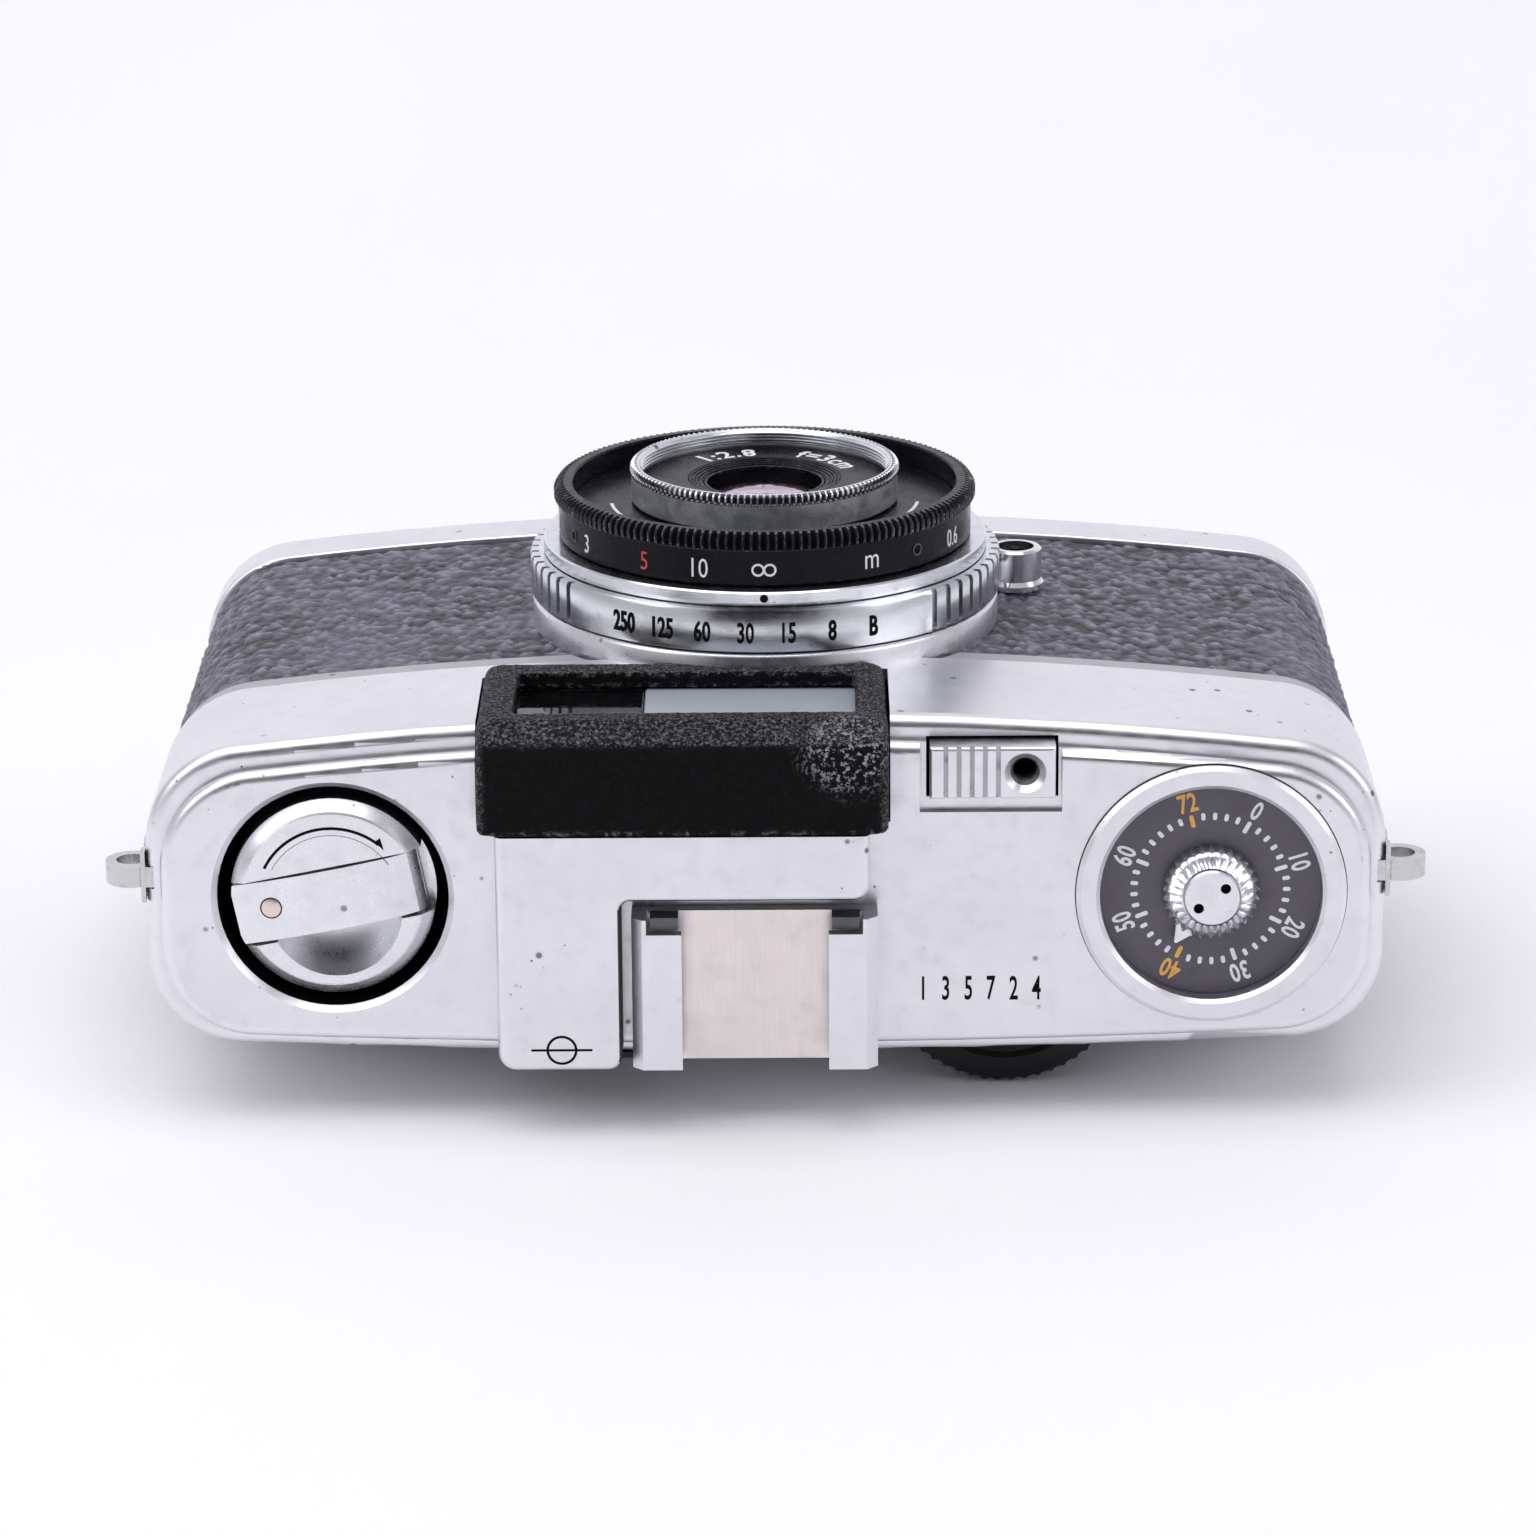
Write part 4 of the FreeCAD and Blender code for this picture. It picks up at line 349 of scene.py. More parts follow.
for key, names in USE.items():
    for nm in names.split():
        o = N[nm]
        o.data.materials.clear()
        o.data.materials.append(M[key])
        o.data.shade_smooth()
        o.data.set_sharp_from_angle(angle=rad(SMOOTH.get(nm, 33)))
        w = o.modifiers.new("weighted", "WEIGHTED_NORMAL")
        w.keep_sharp = True
        w.weight = 90


# gives the faces that pass the test another material: by default the near-black painted shade, with other keys a
# different finish such as the grey lip
def blacken(nm, test, key="shade_black"):
    me = N[nm].data
    me.materials.append(M[key])
    k = len(me.materials) - 1
    for p in me.polygons:
        c = p.center / MM
        if test(c, p.normal):
            p.material_index = k


# top cover faces that get painted shade: the rewind knob well, the walls of the release button recess and the upright
# side walls by the finder
def in_top(c, n):
    if math.hypot(c.x - 37.3, c.y - 0.4) < 10.25 and c.z < 66.15:
        return True
    if -25.7 < c.x < -13.1 and -14.0 < c.y < -6.9 and c.z < 66.6 and abs(n.z) < 0.7 and c.z > 58 and (abs(n.x) > 0.8 or n.y > 0.8):
        return True
    if -11.2 < c.x < 25.2 and -16.2 < c.y < -5.6 and abs(n.x) > 0.8 and c.z > 50:
        return True
    return False


def shoe_gap(c, n):
    return c.z > 66.9 and ((n.x < -0.7 and 11.4 < c.x < 13.2 and c.y > -1.2) or (n.y > 0.7 and -1.2 < c.y < 0.4 and c.x < 12.6))


LIP = 45.0
blacken("body_casting", lambda c, n: c.z > LIP and c.z < 48.6 and (abs(n.x) > 0.5 or abs(n.y) > 0.5 or n.z > 0.8) and (c.y < -9.5 or abs(c.x) > 47.0), "lip")
blacken("top_cover", in_top)
blacken("top_cover", shoe_gap, "recess")
# painted shade in the counter cap's two pin holes and on its sunken floor
blacken("counter_cap", lambda c, n: c.z < 68.2 and abs(n.z) < 0.9 and min(math.hypot(c.x + 37.25, c.y - 1.29), math.hypot(c.x + 39.55, c.y + 0.49)) < 0.55 or (c.z < 68.2 and c.z > 67.85 and n.z > 0.9))
# painted shade inside the cable release socket
blacken("release_button", lambda c, n: math.hypot(c.x + 22.3, c.y + 10.9) < 1.3 and c.z < 67.44)
blacken("release_button", lambda c, n: 67.4 < c.z < 67.62 and n.z > 0.9 and c.x > -21, "groove")
# darker steel on the spring's outer parts: painted shade under the shoe rails
blacken("shoe_spring", lambda c, n: c.y < 2.7 and abs(c.x - 0.93) > 6.4, "dark_steel_and_shade")


# ---------------------------------------------------------------- mesh helpers
def obj(name, verts, faces, mat, body, smooth=None):
    me = bpy.data.meshes.new(name)
    me.from_pydata([tuple(c * MM for c in v) for v in verts], [], faces)
    me.update()
    mats = mat if isinstance(mat, (list, tuple)) else [mat]
    for m in mats:
        me.materials.append(m)
    if smooth is not None:
        me.shade_smooth()
        me.set_sharp_from_angle(angle=rad(smooth))
    o = bpy.data.objects.new(name, me)
    bpy.context.scene.collection.objects.link(o)
    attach(o, body)
    return o


def outward(o):
    bm = bmesh.new()
    bm.from_mesh(o.data)
    bmesh.ops.recalc_face_normals(bm, faces=bm.faces)
    bm.to_mesh(o.data)
    bm.free()
    return o


def lathe(prof, axis_pt, axis, n=128, a0=0.0, a1=360.0):
    """Closed profile of (radius, along) turned about an axis. Returns verts, faces."""
    ax = Vector(axis).normalized()
    e1 = Vector((1, 0, 0)) if abs(ax.x) < 0.9 else Vector((0, 0, 1))
    e1 = (e1 - ax * e1.dot(ax)).normalized()
    e2 = ax.cross(e1)
    c = Vector(axis_pt)
    full = abs(a1 - a0) >= 359.99
    m = n if full else n + 1
    vs, fs = [], []
    k = len(prof)
    for i in range(m):
        t = rad(a0 + (a1 - a0) * i / n)
        d = e1 * math.cos(t) + e2 * math.sin(t)
        for r, h in prof:
            vs.append(tuple(c + d * r + ax * h))
    for i in range(n if full else n):
        j = (i + 1) % m
        for q in range(k):
            s = (q + 1) % k
            fs.append((i * k + q, j * k + q, j * k + s, i * k + s))
    if not full:
        fs.append(tuple(range(k)))
        fs.append(tuple((m - 1) * k + q for q in reversed(range(k))))
    return vs, fs


_ft = {}


def glyphs(text, size, thick, sx=1.0, spacing=1.0, weight=0.0, fine=0.35):
    """A thin closed print: verts (u, v, w) centred on its own middle, and faces."""
    key = (text, size, thick, sx, spacing, weight, fine)
    if key in _ft:
        return _ft[key]
    cu = bpy.data.curves.new("t", "FONT")
    cu.body = text
    cu.size = size
    cu.extrude = thick / 2
    cu.space_character = spacing
    cu.offset = weight
    cu.resolution_u = 3
    o = bpy.data.objects.new("t", cu)
    bpy.context.scene.collection.objects.link(o)
    dg = bpy.context.evaluated_depsgraph_get()
    me = bpy.data.meshes.new_from_object(o.evaluated_get(dg))
    bm = bmesh.new()
    bm.from_mesh(me)
    bmesh.ops.remove_doubles(bm, verts=bm.verts, dist=1e-5)
    bmesh.ops.triangulate(bm, faces=bm.faces)
    for _ in range(2):
        long = [e for e in bm.edges if e.calc_length() > fine * 2]
        if not long:
            break
        bmesh.ops.subdivide_edges(bm, edges=long, cuts=1)
        bmesh.ops.triangulate(bm, faces=bm.faces)
    vs = np.array([v.co[:] for v in bm.verts])
    fs = [tuple(v.index for v in f.verts) for f in bm.faces]
    bm.free()
    bpy.data.objects.remove(o)
    bpy.data.meshes.remove(me)
    lo, hi = vs.min(0), vs.max(0)
    vs[:, :2] -= (lo[:2] + hi[:2]) / 2
    vs[:, 0] *= sx
    _ft[key] = (vs, fs)
    return _ft[key]


class Print:
    """Collects thin closed prints into one piece."""

    def __init__(s, name, body, mats, slot=None):
        s.name, s.body, s.mats, s.slot = name, body, mats, slot
        s.v, s.f, s.mi = [], [], []

    def add(s, pts, faces, mi=0):
        k = len(s.v)
        s.v += [tuple(p) for p in pts]
        s.f += [tuple(i + k for i in f) for f in faces]
        s.mi += [mi] * len(faces)

    def flat(s, g, at, right, up, mi=0):
        at, r, u = Vector(at), Vector(right).normalized(), Vector(up).normalized()
        n = r.cross(u)
        s.add([at + r * a + u * b + n * c for a, b, c in g[0]], g[1], mi)

    def barrel(s, g, ang, radius, y, zc=32.4, mi=0, up=-1):
        """On a cylinder about the lens axis; ang from straight up towards -X; tops point to the lens front."""
        pts = []
        for a, b, c in g[0]:
            t = rad(ang) + a / radius
            rr = radius + c
            pts.append((-rr * math.sin(t), y + up * b, zc + rr * math.cos(t)))
        s.add(pts, g[1], mi)

    def face(s, g, ang, radius, y, zc=32.4, mi=0):
        """On a face that looks to -Y; ang clockwise from straight up seen from the front; tops point outward."""
        pts = []
        for a, b, c in g[0]:
            t = rad(ang) + a / radius
            rr = radius + b
            pts.append((rr * math.sin(t), y - c, zc + rr * math.cos(t)))
        s.add(pts, g[1], mi)

    def done(s):
        o = obj(s.name, s.v, s.f, s.mats, s.body)
        o.data.polygons.foreach_set("material_index", s.mi)
        return o


def slab(w, h, t, nx=1, ny=1):
    """A small bar of ink w by h by t, centred, as (verts, faces)."""
    bm = bmesh.new()
    bmesh.ops.create_cube(bm, size=1)
    for v in bm.verts:
        v.co = (v.co.x * w, v.co.y * h, v.co.z * t)
    bmesh.ops.bevel(bm, geom=[e for e in bm.edges if abs(e.verts[0].co.z - e.verts[1].co.z) > 1e-6], offset=min(w, h) * 0.2, segments=2, affect="EDGES")
    if nx > 1:
        bmesh.ops.subdivide_edges(bm, edges=[e for e in bm.edges if e.calc_length() > w * 0.5 and abs(e.verts[0].co.y - e.verts[1].co.y) < 1e-6], cuts=nx)
        bmesh.ops.triangulate(bm, faces=bm.faces)
    bm.verts.ensure_lookup_table()
    bm.verts.index_update()
    r = (np.array([v.co[:] for v in bm.verts]), [tuple(v.index for v in f.verts) for f in bm.faces])
    bm.free()
    return r


def ring_arc(r0, r1, t, a0, a1, n):
    """Flat arc of ink about the origin in u, v; angles clockwise from +v."""
    vs, fs = [], []
    for i in range(n + 1):
        a = rad(a0 + (a1 - a0) * i / n)
        for r, w in ((r0, -t / 2), (r1, -t / 2), (r1, t / 2), (r0, t / 2)):
            vs.append((r * math.sin(a), r * math.cos(a), w))
    for i in range(n):
        for q in range(4):
            fs.append((i * 4 + q, i * 4 + (q + 1) % 4, i * 4 + 4 + (q + 1) % 4, i * 4 + 4 + q))
    if abs(a1 - a0) < 359.9:
        fs.append((0, 3, 2, 1))
        fs.append((n * 4, n * 4 + 1, n * 4 + 2, n * 4 + 3))
    return np.array(vs), fs


def toothed(name, prof, centre, axis, teeth, per, mat, body, old=(), phase=0.0, sharp=30, power=1.0):
    """Closed profile of (radius, along, groove in radius, groove along) turned about an axis, with V grooves round it."""
    ax = Vector(axis).normalized()
    e1 = Vector((1, 0, 0)) if abs(ax.x) < 0.9 else Vector((0, 0, 1))
    e1 = (e1 - ax * e1.dot(ax)).normalized()
    e2 = ax.cross(e1)
    c = Vector(centre)
    n = teeth * per
    vs, fs = [], []
    k = len(prof)
    for i in range(n):
        t = 2 * math.pi * i / n + phase
        g0 = abs(((i / per) % 1.0) - 0.5) * 2
        g0 = g0 ** power
        dd = e1 * math.cos(t) + e2 * math.sin(t)
        for q in prof:
            wr, wz = (q[2], q[3]) if len(q) > 3 else (0, 0)
            vs.append(tuple(c + dd * (q[0] - wr * g0) + ax * (q[1] - wz * g0)))
    for i in range(n):
        j = (i + 1) % n
        for q in range(k):
            r_ = (q + 1) % k
            fs.append((i * k + q, j * k + q, j * k + r_, i * k + r_))
    o = outward(obj(name, vs, fs, mat, body))
    o.data.shade_smooth()
    o.data.set_sharp_from_angle(angle=rad(sharp))
    if old:
        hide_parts(*old)
    return o


toothed("focus_ring_serrated", [(13.05, 22.6), (18.4, 22.6), (18.6, 22.8), (18.6, 25.80), (18.68, 25.92, 0, 0), (19.0, 26.12, 0.50, 0),
                                (19.02, 26.85, 0.62, 0), (18.66, 27.40, 0.50, 0.12), (18.1, 27.47), (17.45, 27.47), (17.3, 27.32),
                                (17.3, 23.9), (13.05, 23.9)], (0, 0, 32.4), (0, -1, 0), 160, 6, M["anod"], "focus_ring", ("focus_ring",), sharp=28, power=0.8)
fr = bpy.data.objects["focus_ring_serrated"]
fr.data.materials.append(M["ridge"])
fr.data.materials.append(M["shade_black"])
# serration pockets get the near-black painted shade, the tops the lighter ridge copy as painted highlight
for i, p in enumerate(fr.data.polygons):
    if 4 <= i % 13 <= 7:
        p.material_index = 1 if (i // 13) % 6 in (2, 3) else 2
toothed("aperture_ring_knurled", [(10.65, 25.6), (11.8, 25.6), (12.0, 25.8), (12.0, 28.02), (12.04, 28.10, 0.0, 0), (12.12, 28.22, 0.36, 0),
                                  (12.12, 28.78, 0.46, 0), (11.90, 29.02, 0.34, 0.20), (11.52, 29.02, 0.0, 0.05), (11.4, 29.02), (11.25, 28.85),
                                  (11.25, 26.97), (10.65, 26.97)], (0, 0, 32.4), (0, -1, 0), 130, 6, M["apring"], "aperture_ring", ("aperture_ring",), sharp=26, power=0.8)
ar = bpy.data.objects["aperture_ring_knurled"]
ar.data.materials.append(M["bright"])
ar.data.materials.append(M["dark_steel_and_shade"])
# knurl pockets get dark steel as painted shade, the tops bright chrome
for i, p in enumerate(ar.data.polygons):
    if 4 <= i % 13 <= 7:
        p.material_index = 1 if (i // 13) % 6 in (2, 3) else 2
toothed("counter_knob_fluted", [(1.25, 64.6), (2.1, 64.6), (2.1, 66.0), (4.05, 66.0), (4.28, 66.2, 0.25, 0), (4.30, 66.95, 0.42, 0.0),
                                (4.10, 67.45, 0.30, 0.32), (3.45, 67.82, 0, 0.42), (2.85, 68.05, 0, 0.30), (2.62, 68.1, 0, 0.05),
                                (2.6, 67.6), (1.25, 67.6)], (-38.4, 0.4, 0), (0, 0, 1), 30, 8, M["bright"], "counter", ("counter_knob",), sharp=34, power=1.0)


def ribbed_ring():
    """Speed ring: plain at the top between -53 and +45 degrees, slotted all the way round below."""
    slots = [45 + 5 * i for i in range(53)]
    cols = []
    a = -53.0 + 2.5
    plain = np.arange(-50.0, 43.1, 1.0)
    for v in plain:
        cols.append((v, 0))
    for v in slots:
        cols += [(v - 0.85, 0), (v - 0.72, 1), (v + 0.72, 1), (v + 0.85, 0), (v + 2.0, 0)]
    vs, fs = [], []
    prof = [(19.4, 17.2, 0), (20.75, 17.2, 0), (21.10, 17.42, 0.25), (21.14, 17.75, 0.62), (21.14, 20.85, 0.62), (20.98, 21.2, 0.50), (20.1, 21.2, 0), (19.4, 21.2, 0)]
    k = len(prof)
    for ang, s_ in cols:
        t = rad(ang)
        for r_, y_, w_ in prof:
            rr = r_ - w_ * s_ + (0.10 if (w_ > 0.3 and not s_ and not -51 < ang < 43.5) else 0)
            vs.append((-rr * math.sin(t), -y_, 32.4 + rr * math.cos(t)))
    n = len(cols)
    for i in range(n):
        j = (i + 1) % n
        for q in range(k):
            z_ = (q + 1) % k
            fs.append((i * k + q, j * k + q, j * k + z_, i * k + z_))
    o = outward(obj("speed_ring_ribbed", vs, fs, M["turned"], "speed_ring"))
    o.data.shade_smooth()
    o.data.set_sharp_from_angle(angle=rad(30))
    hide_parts("speed_ring")


ribbed_ring()
vs, fs = lathe([(19.0, 14.3), (20.9, 14.3), (21.06, 14.5), (21.06, 16.75), (20.95, 17.0), (20.8, 17.12), (19.0, 17.12)], (0, 0, 32.4), (0, -1, 0), 240)
o = outward(obj("lens_seat", vs, fs, M["satin_rw"], "camera_body", 30))
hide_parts("lens_flange")


def pointer():
    bm = bmesh.new()
    a = math.atan2(0.839, 0.545)
    rot = Matrix.Rotation(a, 3, "Z")
    base = [(3.5, -1.15), (3.5, 1.15), (5.55, 0.10), (5.55, -0.10)]
    lo_ = [bm.verts.new(Vector((-38.4, 0.4, 66.15)) + rot @ Vector((x, y, 0))) for x, y in base]
    hi_ = [bm.verts.new(Vector((-38.4, 0.4, 66.65)) + rot @ Vector((x, y, 0))) for x, y in base]
    bm.faces.new(lo_)
    bm.faces.new(hi_[::-1])
    for i in range(4):
        j = (i + 1) % 4
        bm.faces.new((lo_[j], lo_[i], hi_[i], hi_[j]))
    bmesh.ops.recalc_face_normals(bm, faces=bm.faces)
    bmesh.ops.bevel(bm, geom=[e for e in bm.edges if e.verts[0].co.z > 66.5 and e.verts[1].co.z > 66.5], offset=0.1, segments=2, affect="EDGES")
    bm.verts.index_update()
    vs = [tuple(v.co) for v in bm.verts]
    fs = [tuple(v.index for v in f.verts) for f in bm.faces]
    bm.free()
    outward(obj("counter_pointer", vs, fs, M["satin_rw"], "counter"))


pointer()


def wrinkled_frame():
    """The finder surround with soft, chipped edges and a wrinkled coat."""
    src = N["finder_frame"]
    me = src.data.copy()
    o = bpy.data.objects.new("finder_surround", me)
    bpy.context.scene.collection.objects.link(o)
    o.modifiers.clear()
    rm = o.modifiers.new("remesh", "REMESH")
    rm.mode = "VOXEL"
    rm.voxel_size = 0.20 * MM
    rm.use_smooth_shade = True
    sm = o.modifiers.new("smooth", "SMOOTH")
    sm.factor = 0.6
    sm.iterations = 7
    dg = bpy.context.evaluated_depsgraph_get()
    ev = bpy.data.meshes.new_from_object(o.evaluated_get(dg))
    co_ = np.zeros(len(ev.vertices) * 3, np.float32)
    ev.vertices.foreach_get("co", co_)
    co_ = co_.reshape(-1, 3)
    nr = np.zeros(len(ev.vertices) * 3, np.float32)
    ev.vertices.foreach_get("normal", nr)
    nr = nr.reshape(-1, 3)
    for i in range(len(co_)):
        p = Vector(co_[i] / MM)
        h_ = noise.noise(p * 1.5) * 0.035 + noise.noise(p * 3.3) * 0.035
        co_[i] += nr[i] * (h_ - 0.01) * MM
    ev.vertices.foreach_set("co", co_.ravel())
    ev.update()
    ev.materials.clear()
    ev.materials.append(M["wrinkle"])
    o.modifiers.clear()
    o.data = ev
    ev.shade_smooth()
    bpy.data.meshes.remove(me)
    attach(o, "camera_body")
    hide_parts("finder_frame")
    return o


wrinkled_frame()

# ---------------------------------------------------------------- leatherette
def pebble(p):
    """0 in the valleys, 1 on the pebbles."""
    q = Vector(p) + noise.noise_vector(Vector(p) * 0.55) * 0.40
    d, _ = noise.voronoi(q * 0.92)
    a = max(0.0, 1.0 - (d[0] / 0.66) ** 2)
    d2, _ = noise.voronoi(q * 1.65 + Vector((7, 3, 1)))
    b = max(0.0, 1.0 - (d2[0] / 0.66) ** 2)
    n = noise.noise(q * 0.45) * 0.16 + noise.noise(q * 2.3) * 0.10
    return max(0.0, min(1.0, 0.66 * a + 0.24 * b + 0.04 + n))


def skin(node, sign, z_lo, z_hi, name, amp=0.50, step=0.27):
    """The covering as one curved, embossed sheet with thickness, on the outline of its CAD node."""
    o = N[node]
    bvh = BVHTree.FromPolygons([v.co / MM for v in o.data.vertices], [tuple(p.vertices) for p in o.data.polygons])
    zq = z_lo + 2.0
    hits = []
    for i in range(5200):
        x = 62.0 * math.cos(math.pi * i / 5199)
        # from outside towards the middle line
        t = math.pi * i / 5199
        src = Vector((80 * math.cos(t), sign * 80 * math.sin(t) * 0.62, zq))
        dst = Vector((46.0 * math.cos(t), 0.0, zq))
        h = bvh.ray_cast(src, (dst - src).normalized())
        if h[0] is not None:
            hits.append((h[0].x, h[0].y))
    P = np.array(hits)
    keep = sign * P[:, 1] > sign * (4.9 if node == "front_leatherette" else 5.1) - 50
    P = P[keep]
    seg = np.hypot(*np.diff(P, axis=0).T)
    ok = np.r_[True, seg > 1e-4]
    P = P[ok]
    s = np.r_[0, np.cumsum(np.hypot(*np.diff(P, axis=0).T))]
    k = int(s[-1] / step)
    u = np.linspace(0, s[-1], k + 1)
    X, Y = np.interp(u, s, P[:, 0]), np.interp(u, s, P[:, 1])
    w = int(1.6 / step) | 1
    ker = np.hanning(w + 2)[1:-1]
    ker /= ker.sum()
    Xs = np.convolve(np.pad(X, w // 2, mode="edge"), ker, "valid")
    Ys = np.convolve(np.pad(Y, w // 2, mode="edge"), ker, "valid")
    Xs[:3], Ys[:3], Xs[-3:], Ys[-3:] = X[:3], Y[:3], X[-3:], Y[-3:]
    tx, ty = np.gradient(Xs), np.gradient(Ys)
    L = np.hypot(tx, ty)
    nx, ny = ty / L, -tx / L
    mid = len(Xs) // 2
    if ny[mid] * sign < 0:
        nx, ny = -nx, -ny
    rows = int((z_hi - z_lo) / step)
    Z = np.linspace(z_lo, z_hi, rows + 1)
    C = len(Xs)
    vs, idx = [], {}
    lens = (0.0, 32.4)

    def inside(c, r):
        return node == "front_leatherette" and Ys[c] < -10 and math.hypot(Xs[c] - lens[0], Z[r] - lens[1]) < 20.6

    grain = []
    for r in range(rows + 1):
        for c in range(C):
            edge = min(Z[r] - z_lo, z_hi - Z[r], u[c], u[-1] - u[c])
            taper = min(1.0, edge / 0.5)
            pb = pebble((u[c] + (200 if sign > 0 else 0), Z[r], 0))
            grain.append(pb)
            h = (pb - 0.55) * amp * taper - 0.16 * (1 - taper)
            vs.append((Xs[c] + nx[c] * h, Ys[c] + ny[c] * h, Z[r]))
    faces = []
    hole = np.zeros((rows, C - 1), bool)
    for r in range(rows):
        for c in range(C - 1):
            if inside(c, r) or inside(c + 1, r + 1) or inside(c, r + 1) or inside(c + 1, r):
                hole[r, c] = True
                continue
            a = r * C + c
            faces.append((a, a + 1, a + C + 1, a + C))
    # back of the sheet and its rims
    back = {}

    def b(a):
        if a not in back:
            c = a % C
            x, y, z = Xs[c] - nx[c] * 0.45, Ys[c] - ny[c] * 0.45, Z[a // C]
            back[a] = len(vs)
            vs.append((x, y, z))
        return back[a]

    count = {}
    for f in faces:
        for i in range(4):
            e = (f[i], f[(i + 1) % 4])
            count[e] = count.get(e, 0) + 1
    rim = [e for e in count if (e[1], e[0]) not in count]
    for a, c2 in rim:
        faces.append((c2, a, b(a), b(c2)))
    ob = obj(name, vs, faces, M["skin"], "camera_body" if sign < 0 else "back")
    outward(ob)
    ob.data.shade_smooth()
    # pebble height per point, read by the leatherette material for the painted highlight on the tops and painted
    # shade in the valleys
    at = ob.data.attributes.new("grain", "FLOAT", "POINT")
    at.data.foreach_set("value", np.array(grain + [0.3] * (len(ob.data.vertices) - len(grain)), np.float32))
    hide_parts(node)
    return ob


lo, hi = corners("front_leatherette")
skin("front_leatherette", -1, lo[2], hi[2], "leatherette_front")
lo, hi = corners("back_leatherette")
skin("back_leatherette", 1, lo[2], hi[2], "leatherette_back")

# ---------------------------------------------------------------- frame counter
T = 0.05
cx, cy = -38.4, 0.4
zd = corners("counter_dial")[1][2]
pr = Print("counter_scale", "camera_body", [M["ink_w"], M["ink_o"]], "dial_paint")


def dial_dir(a):
    return Vector((-math.sin(rad(a)), -math.cos(rad(a)), 0))


first = 29.0
pitch = 360.0 / 41
for i in range(41):
    a = first + pitch * i
    frames = i * 2
    d = dial_dir(a)
    r = Vector((-math.cos(rad(a)), math.sin(rad(a)), 0))
    big = frames in (0, 10, 20, 30, 40, 50, 60, 72)
    orange = frames in (40, 72)
    ln = 1.15 if big else 0.66
    pr.flat(slab(0.36 if not big else 0.38, ln, T), Vector((cx, cy, zd)) + d * (6.92 - ln / 2), r, d, 1 if orange else 0)
    if big:
        txt = str(frames)
        pr.flat(glyphs(txt, 2.35, T, 0.70, 1.08, 0.055), Vector((cx, cy, zd)) + d * 8.05, r, d, 1 if orange else 0)
pr.done()
# fine circle where the plateau meets the bezel
vs, fs = lathe([(11.60, -0.12), (11.74, -0.12), (11.74, 0.004), (11.60, 0.004)], (cx, cy, 67.0), (0, 0, 1), 160)
outward(obj("counter_bezel_line", vs, fs, M["gap"], "camera_body"))

# ---------------------------------------------------------------- marks on the cover
zh = corners("top_cover")[1][2]
pr = Print("film_plane_mark", "camera_body", [M["ink_k"]], "satin_chrome")
R_, U_ = (-1, 0, 0), (0, -1, 0)
pr.flat(ring_arc(1.12, 1.34, T, 0, 360, 48), (17.6, 13.0, zh), R_, U_)
pr.flat(slab(5.3, 0.2, T), (17.6, 13.0, zh), R_, U_)
pr.done()
pr = Print("cover_digits", "camera_body", [M["ink_k"]], "satin_chrome")
for i, ch in enumerate("135724"):
    pr.flat(glyphs(ch, 3.05, T, 0.52, 1.0, 0.045), (-13.6 - i * 1.96, 8.95, 67.0), R_, U_)
pr.done()

# ---------------------------------------------------------------- rewind knob: arrow, circle, rivet
kx, ky = 37.3, 0.4
zk = 67.3
pr = Print("rewind_arrow", "rewind_knob", [M["ink_k"], M["gap"]], "satin_chrome")
pr.flat(ring_arc(6.30, 6.56, T, -64, 40, 60), (kx, ky, zk), R_, U_)
tip = 44.0
pv = lambda a, r: (r * math.sin(rad(a)), r * math.cos(rad(a)))
tri = [pv(46, 6.35), pv(36, 6.43), pv(37.5, 7.0)]
tv = [(a, b, -T / 2) for a, b in tri] + [(a, b, T / 2) for a, b in tri]
pr.flat((np.array(tv), [(0, 1, 2), (5, 4, 3), (0, 3, 4, 1), (1, 4, 5, 2), (2, 5, 3, 0)]), (kx, ky, zk), R_, U_)
pr.flat(ring_arc(5.78, 5.83, T * 0.4, -62, 58, 60), (kx, ky, zk), R_, U_, 1)
outward(pr.done())

# crank rivet
zc_top = None
bv = BVHTree.FromPolygons([v.co / MM for v in N["rewind_crank"].data.vertices], [tuple(p.vertices) for p in N["rewind_crank"].data.polygons])
hit = bv.ray_cast(Vector((42.6, 1.2, 80)), Vector((0, 0, -1)))
if hit[0] is not None:
    z0, nrm = hit[0].z, hit[1]
    if nrm.z < 0:
        nrm = -nrm
    vs, fs = lathe([(0.0, -0.3), (0.84, -0.3), (0.84, 0.02), (0.70, 0.06), (0.40, 0.085), (0.0, 0.09)], (42.6, 1.2, z0), nrm, 40)
    o = outward(obj("crank_rivet", vs, fs, M["rivet"], "rewind_crank", 30))
    vs, fs = lathe([(0.84, -0.3), (0.97, -0.3), (0.97, 0.012), (0.84, 0.012)], (42.6, 1.2, z0), nrm, 40)
    outward(obj("crank_rivet_groove", vs, fs, M["gap"], "rewind_crank"))

